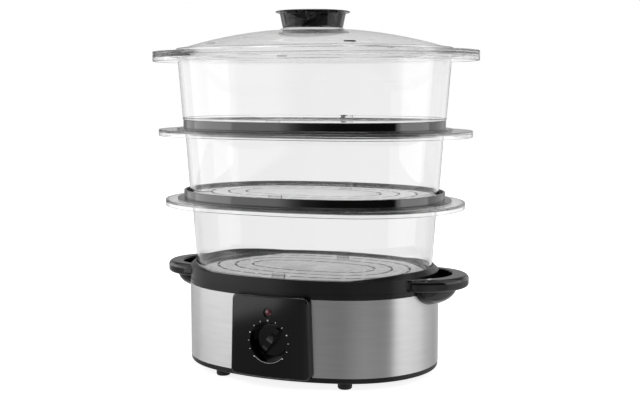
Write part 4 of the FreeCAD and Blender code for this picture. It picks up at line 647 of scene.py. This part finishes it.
bpy.context.view_layer.update()
shaped = bpy.data.meshes.new_from_object(clear_dome.evaluated_get(bpy.context.evaluated_depsgraph_get()))
clear_dome.modifiers.clear()
clear_dome.data = shaped
shaped.set_sharp_from_angle(angle=radians(SMOOTH_TURN))
keep_flat(clear_dome)
bpy.data.objects.remove(cutters)
print("lid with vents:", len(shaped.polygons), "faces")

# %% [markdown]
# ## Lid knob
# The knob is a hollow black cone with a flat brim and a low crown, spun in one piece.
# %% The lid knob
knob_high = low_high("lid_knob")[1]
CROWN, BRIM, BRIM_RADIUS = 1.6, 1.4, 37.8
brim_z = knob_high.z - CROWN - BRIM
crown_z = knob_high.z
section = [(2.0, GRIP_Z), (6.0, GRIP_Z), (7.0, brim_z - 0.8), (30.6, brim_z - 0.8), (27.9, GRIP_Z + 0.5),
           (29.0, GRIP_Z + 0.2), (30.4, GRIP_Z + 0.5), (30.6, GRIP_Z + 1.0), (33.0, brim_z - 2.0),
           (33.6, brim_z - 0.9), (34.8, brim_z - 0.1), (37.0, brim_z + 0.2), (37.6, brim_z + 0.5),
           (BRIM_RADIUS, brim_z + 0.9), (37.4, brim_z + BRIM), (36.4, brim_z + BRIM + 0.25),
           (27.5, crown_z - 0.75), (14.0, crown_z - 0.18), (0.0, crown_z), (0.0, brim_z), (2.0, brim_z)]
finish("lid_grip", lathe(section), gloss_black, "lid_knob", smooth=45)

# %% [markdown]
# ## The base
# The steel band, the shell, the reservoir, the cover and the handles keep the shape of their solids, with
# edges eased by the width that each moulding really has.
#
# A hand meets no edge on the loop handles, so the rims of their holes are rolled over much further than the
# rest, until the bar looks nearly round.
# %% Loop handles
LOOP_X, LOOP_HOLE_X, LOOP_HOLE_Y = 118.0, 29.5, 34.0
LOOP_HEIGHT, LOOP_ROLL, LOOP_ROLL_BELOW = 12.0, 4.4, 3.2
ROLL_STEPS, LOOP_ROUND, ON_HOLE = 7, 0.7, 0.02


def on_hole(place, side, level):
    """Whether a point lies on the rim of a handle's hole."""
    across = ((place.x - side * LOOP_X) / LOOP_HOLE_X) ** 2 + (place.y / LOOP_HOLE_Y) ** 2
    return abs(place.z - level) < ON_HOLE and abs(across - 1) < ON_HOLE


def loop_handle(node, side):
    """A handle's solid with the rims of its hole rolled over; the side is 1 for right and -1 for left."""
    bm = eased(node, 0)
    top = low_high(node)[1].z
    for roll, level in ((LOOP_ROLL, top), (LOOP_ROLL_BELOW, top - LOOP_HEIGHT)):
        whole = [edge for edge in bm.edges if edge.is_manifold]
        rim = [edge for edge in whole if all(on_hole(vert.co, side, level) for vert in edge.verts)]
        round_edges(bm, rim, roll, ROLL_STEPS)
        print(node, len(rim), "edges rolled over")
    soften(bm, LOOP_ROUND)
    return bm


# %% Base mouldings
finish("steel_wrap", eased("steel_band", 0.15, 1), steel, "steel_band", smooth=25)
finish("shell_moulding", eased("base_shell", 0.9, 3), satin_black, "base_shell")
finish("reservoir_moulding", eased("reservoir", 0.5), satin_black, "reservoir")
finish("cover_moulding", eased("bottom_cover", 0.4), satin_black, "bottom_cover")
finish("right_loop_handle", loop_handle("right_filler_handle", 1), gloss_black, "right_filler_handle")
finish("left_loop_handle", loop_handle("left_filler_handle", -1), gloss_black, "left_filler_handle")
finish("panel_moulding", eased("control_panel", 0.5, 3), gloss_black, "control_panel")
finish("foot_mouldings", eased("rubber_feet", 0.3), rubber, "rubber_feet")
finish("timer_dial_knob", eased("timer_knob", 0.7, 3), gloss_black, "timer_knob")
finish("tray_moulding", eased("drip_tray", 0.5), tray_black, "drip_tray")
finish("sleeve_moulding", eased("steam_sleeve", 0.5), pale_plastic, "steam_sleeve")
finish("indicator_window", eased("indicator_lens", 0.1, 1), red_lens, "indicator_lens")

# %% [markdown]
# The parts inside the base and the small fasteners stay as they are and only get their finishes.
# %% Finishes on the solids
finish_by_node = {
    "base_screws": zinc, "panel_screws": zinc, "timer_screws": zinc, "heater_screws": zinc,
    "lid_knob_screw": zinc, "lid_knob_washer": zinc, "neon_lamp": lamp_glass, "timer_case": pale_plastic,
    "timer_bell": nickel, "timer_shaft": pressed_steel, "heater_gasket": silicone,
    "heating_plate": pressed_steel, "heating_element": sheath, "heater_clamp": aluminium,
    "thermostat": aluminium, "thermal_fuse": ceramic, "cord_gland": rubber, "terminal_block": ceramic,
    "internal_leads": lead_skin,
}
for node, material in finish_by_node.items():
    mesh = nodes[node].data
    mesh.materials.clear()
    mesh.materials.append(material)
print(len(finish_by_node), "solids given a finish")

# %% [markdown]
# ## Dial marks
# The marks are printed on the curved panel: short ticks with a dot at every third place, and a thin arc under
# the dial. Each is a flat shape a few hundredths of a millimetre thick. It is drawn at twelve o'clock, turned
# round the dial to its place and bent onto the panel's face.
# %% The printed dial
PRINT_THICK = 0.06
DIAL_RADIUS, MARK_RADIUS = 20.4, 21.0
MARKS, FIRST_MARK, MARK_STEP, DOT_EVERY = 13, -135, 22.5, 3
TICK_WIDTH, TICK_LENGTH = 0.55, 1.5
DOT_RADIUS, DOT_SIDES = 0.75, 20
ARC_WIDTH, ARC_FROM, ARC_TURN, ARC_STEPS = 0.3, radians(137), radians(86), 48
FACE_RADIUS = side_radius(BASE) + PANEL_PROUD
FACE_CENTRE_Y = side_radius(BASE) - BASE.half_depth


def onto_panel(bm):
    """Bend a flat print, drawn with its front at Y 0, onto the panel's face."""
    for vert in bm.verts:
        vert.co.y += FACE_CENTRE_Y - sqrt(FACE_RADIUS ** 2 - vert.co.x ** 2)


def dot(bm):
    """A round mark that faces the front."""
    made = bmesh.ops.create_cone(bm, cap_ends=True, segments=DOT_SIDES, radius1=DOT_RADIUS,
                                 radius2=DOT_RADIUS, depth=PRINT_THICK)["verts"]
    bmesh.ops.rotate(bm, cent=(0, 0, 0), matrix=Matrix.Rotation(radians(90), 3, "X"), verts=made)
    return made


def tick(bm):
    """A short upright mark."""
    made = bmesh.ops.create_cube(bm, size=1)["verts"]
    bmesh.ops.scale(bm, vec=(TICK_WIDTH, PRINT_THICK, TICK_LENGTH), verts=made)
    return made


bm = bmesh.new()
for step in range(MARKS):
    turn = FIRST_MARK + MARK_STEP * step
    made = tick(bm) if step % DOT_EVERY else dot(bm)
    bmesh.ops.translate(bm, vec=(0, -PRINT_THICK / 2, MARK_RADIUS), verts=made)
    bmesh.ops.rotate(bm, cent=(0, 0, 0), matrix=Matrix.Rotation(radians(turn), 3, "Y"), verts=made)
low, high = DIAL_RADIUS - ARC_WIDTH / 2, DIAL_RADIUS + ARC_WIDTH / 2
corners = ((0, low), (0, high), (-PRINT_THICK, high), (-PRINT_THICK, low))
arc = [bm.verts.new((0, y, z)) for y, z in corners]
sides = [bm.edges.new(pair) for pair in zip(arc, arc[1:] + arc[:1])]
bmesh.ops.rotate(bm, cent=(0, 0, 0), matrix=Matrix.Rotation(ARC_FROM, 3, "Y"), verts=arc)
bm.faces.new(arc)
swept = bmesh.ops.spin(bm, geom=arc + sides, cent=(0, 0, 0), axis=(0, 1, 0), angle=ARC_TURN, steps=ARC_STEPS)
last = [item for item in swept["geom_last"] if isinstance(item, bmesh.types.BMEdge)]
bmesh.ops.edgeloop_fill(bm, edges=last)
bmesh.ops.recalc_face_normals(bm, faces=bm.faces)
bmesh.ops.translate(bm, vec=(0, 0, DIAL_Z), verts=bm.verts)
onto_panel(bm)
bmesh.ops.scale(bm, vec=(MM,) * 3, verts=bm.verts)
mesh = bpy.data.meshes.new("dial_print")
bm.to_mesh(mesh)
bm.free()
mesh.materials.append(white_print)
dial_print = bpy.data.objects.new("dial_print", mesh)
bpy.context.scene.collection.objects.link(dial_print)
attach(dial_print, "base")
print("dial print:", len(mesh.polygons), "faces")

# %% [markdown]
# ## Camera
# The camera stands in front and to the right, a little over a metre away and level with the middle of the
# top basket, looking slightly down.
# %% The camera
CAMERA_PLACE = (469.3, -1052.1, 286.8)
CAMERA_DOWN, CAMERA_ROUND = 5.75, 23.68
CAMERA_LENS, CAMERA_SENSOR = 63.45, 36
camera = bpy.data.objects.new("camera", bpy.data.cameras.new("camera"))
camera.data.lens = CAMERA_LENS
camera.data.sensor_width = CAMERA_SENSOR
camera.location = [size * MM for size in CAMERA_PLACE]
camera.rotation_euler = (radians(90 - CAMERA_DOWN), 0, radians(CAMERA_ROUND))
bpy.context.scene.collection.objects.link(camera)
bpy.context.scene.camera = camera
print("camera at", [round(value, 3) for value in camera.location])

# %% [markdown]
# ## Studio
# Polished steel and black plastic show the room more than themselves, and each surface mirrors the part of
# the room that it faces. So the room is drawn as two rings of brightness round the upright axis. The upright
# steel looks down at the low one, which goes through greys. The black rings, knobs and clear walls look out
# at the level one: dark in front, where the camera stands, with a soft box to the right and a wider one to
# the left. Each stop is an angle round the room, in degrees, and a brightness.
# %% Rings of brightness
RING_STOPS = (
    (-180, 0.42), (-173, 0.38), (-165, 0.42), (-155, 0.50), (-146, 0.60), (-142, 0.60), (-139, 0.22),
    (-112, 0.20), (-96, 0.26), (-91, 0.56), (-85, 0.44), (-78, 0.38), (-66, 0.50), (-49, 0.64),
    (-31, 0.58), (-18, 0.52), (-8, 0.54), (-1, 0.82), (6, 0.86), (22, 0.82), (35, 0.70), (50, 0.64),
    (66, 0.42), (76, 0.36), (92, 0.70), (110, 0.66), (140, 0.66), (152, 0.46), (162, 0.34),
    (170, 0.40), (179, 0.42))
LEVEL_STOPS = (
    (-180, 1.5), (-150, 1.5), (-112, 1.4), (-104, 0.5), (-98, 0.15), (-85, 0.03), (-14, 0.03),
    (-9, 1.3), (20, 1.1), (80, 0.9), (87, 0.5), (129, 0.35), (145, 0.4), (158, 1.4), (179, 1.5))
DIP_STOPS = ((-180, 0), (-143, 0), (-141.5, 0.064), (-96, 0.048), (-94, 0), (179, 0))


def room_ring(tree, share, levels):
    """Brightness by the share of a full turn."""
    ramp = add(tree, "ShaderNodeValToRGB")
    stops = ramp.color_ramp.elements
    stops.remove(stops[1])
    for angle, level in levels:
        stops.new(angle / 360 + 0.5).color = (level, level, level, 1)
    stops.remove(stops[0])
    tree.links.new(share, ramp.inputs["Fac"])
    return ramp.outputs["Color"]


def blend(tree, share, first, second):
    """Mix two colours, each a socket or a grey level."""
    mix = add(tree, "ShaderNodeMix", data_type="RGBA")
    for socket, side in ((mix.inputs[6], first), (mix.inputs[7], second)):
        if isinstance(side, (int, float)):
            socket.default_value = (side, side, side, 1)
        else:
            tree.links.new(side, socket)
    tree.links.new(share, mix.inputs[0])
    return mix.outputs[2]


def step_up(tree, value, start, end):
    """0 below the start, 1 above the end."""
    node = add(tree, "ShaderNodeMapRange", interpolation_type="SMOOTHSTEP")
    tree.links.new(value, node.inputs["Value"])
    node.inputs["From Min"].default_value = start
    node.inputs["From Max"].default_value = end
    return node.outputs["Result"]


print(len(RING_STOPS), "low and", len(LEVEL_STOPS), "level stops round the room")

# %% [markdown]
# The eye meets a white backdrop, and so does the eye that looks through clear plastic, as long as the
# plastic doesn't turn its look aside: a wall seen edge on turns it to the grey sides of the room, which
# draws the wall's outline. What is mirrored comes from the rings, a darker wall above them and a bright
# ceiling. The level ring dips lower at the front left, where its edge shows in the polished panel. Matt
# surfaces are lit evenly.
# %% The room
CEILING, EVEN = 0.85, 0.42
LEVEL_FROM, LEVEL_TO = sin(radians(-8.3)), sin(radians(-7.7))
CEILING_FROM, CEILING_TO = 0.72, 0.86
UPPER_WALL, UPPER_FROM, UPPER_TO = 0.3, 0.3, 0.5
BACKDROP_WAY, SIDE_GREY = radians(114), 0.68
BACKDROP_FROM, BACKDROP_TO = 0.6, 0.95
BELOW_GREY, BELOW_FROM, BELOW_TO = 0.86, -0.55, -0.08
world = bpy.data.worlds.new("room")
bpy.context.scene.world = world
world.use_nodes = True
tree = world.node_tree
background = tree.nodes["Background"]
rays = add(tree, "ShaderNodeLightPath")
way = add(tree, "ShaderNodeTexCoord")
split = add(tree, "ShaderNodeSeparateXYZ")
tree.links.new(way.outputs["Generated"], split.inputs[0])
turn = sums(tree, "ARCTAN2", split.outputs["Y"], split.outputs["X"])
share = sums(tree, "ADD", sums(tree, "DIVIDE", turn, 2 * pi), 0.5)
low_ring, level_ring = room_ring(tree, share, RING_STOPS), room_ring(tree, share, LEVEL_STOPS)
height = sums(tree, "ADD", split.outputs["Z"], room_ring(tree, share, DIP_STOPS))
around = blend(tree, step_up(tree, height, LEVEL_FROM, LEVEL_TO), low_ring, level_ring)
upper = blend(tree, step_up(tree, split.outputs["Z"], UPPER_FROM, UPPER_TO), around, UPPER_WALL)
mirrored = blend(tree, step_up(tree, split.outputs["Z"], CEILING_FROM, CEILING_TO), upper, CEILING)
onward = sums(tree, "ADD", sums(tree, "MULTIPLY", split.outputs["X"], cos(BACKDROP_WAY)),
              sums(tree, "MULTIPLY", split.outputs["Y"], sin(BACKDROP_WAY)))
below = blend(tree, step_up(tree, split.outputs["Z"], BELOW_FROM, BELOW_TO), BELOW_GREY, 1.0)
through = blend(tree, step_up(tree, onward, BACKDROP_FROM, BACKDROP_TO), SIDE_GREY, below)
light = blend(tree, rays.outputs["Is Glossy Ray"], EVEN, mirrored)
light = blend(tree, rays.outputs["Is Transmission Ray"], light, through)
light = blend(tree, rays.outputs["Is Camera Ray"], light, 1.0)
tree.links.new(light, background.inputs["Color"])
print("room ready")

# %% [markdown]
# The lamps give soft light from both sides and above, for the matt surfaces and for the bright edges on
# polished ones.
# %% Lamps
MIDDLE = Vector((0, 0, 0.18))


def soft_lamp(name, place, width, height, power):
    """A soft box that looks at the middle of the steamer."""
    light = bpy.data.lights.new(name, "AREA")
    light.shape = "RECTANGLE"
    light.size, light.size_y, light.energy = width, height, power
    lamp = bpy.data.objects.new(name, light)
    lamp.location = place
    lamp.rotation_euler = (MIDDLE - Vector(place)).to_track_quat("-Z", "Y").to_euler()
    bpy.context.scene.collection.objects.link(lamp)


soft_lamp("left lamp", (-1.3, -0.5, 0.7), 1.3, 1.7, 6)
soft_lamp("right lamp", (1.4, 0.35, 0.7), 1.3, 1.7, 6)
soft_lamp("top lamp", (-0.15, -0.1, 1.6), 1.2, 0.9, 9)
print("three lamps")

# %% [markdown]
# The floor is white to the eye and keeps a faint shadow. Mirrors and clear plastic look past it into the
# room, which is drawn below the level as well. Light that is caught inside a clear flange is turned back many
# times before it leaves, so it is followed for many bounces.
# %% The floor
MOST_BOUNCES, MIRROR_BOUNCES, CLEAR_BOUNCES = 32, 16, 24
FLOOR_REACH, FLOOR_COLOUR, FLOOR_ROUGHNESS, SEEN_GLOW = 5.0, (0.8, 0.8, 0.8), 0.6, 0.85
bm = bmesh.new()
bmesh.ops.create_grid(bm, x_segments=1, y_segments=1, size=FLOOR_REACH)
mesh = bpy.data.meshes.new("floor")
bm.to_mesh(mesh)
bm.free()
floor = bpy.data.objects.new("floor", mesh)
bpy.context.scene.collection.objects.link(floor)
floor.visible_glossy = False
floor.visible_transmission = False
floor_white, tree, shader = finish_of("Floor white", FLOOR_COLOUR, FLOOR_ROUGHNESS, Specular_IOR_Level=0.0)
rays = add(tree, "ShaderNodeLightPath")
seen_glow = add(tree, "ShaderNodeEmission", Strength=SEEN_GLOW)
seen_floor = add(tree, "ShaderNodeAddShader")
tree.links.new(shader.outputs["BSDF"], seen_floor.inputs[0])
tree.links.new(seen_glow.outputs["Emission"], seen_floor.inputs[1])
mix = add(tree, "ShaderNodeMixShader")
tree.links.new(rays.outputs["Is Camera Ray"], mix.inputs["Fac"])
tree.links.new(shader.outputs["BSDF"], mix.inputs[1])
tree.links.new(seen_floor.outputs[0], mix.inputs[2])
tree.links.new(mix.outputs["Shader"], tree.nodes["Material Output"].inputs["Surface"])
mesh.materials.append(floor_white)
bpy.context.scene.view_settings.view_transform = "Standard"
cycles = bpy.context.scene.cycles
cycles.max_bounces = MOST_BOUNCES
cycles.glossy_bounces = MIRROR_BOUNCES
cycles.transmission_bounces = CLEAR_BOUNCES
print("floor ready")
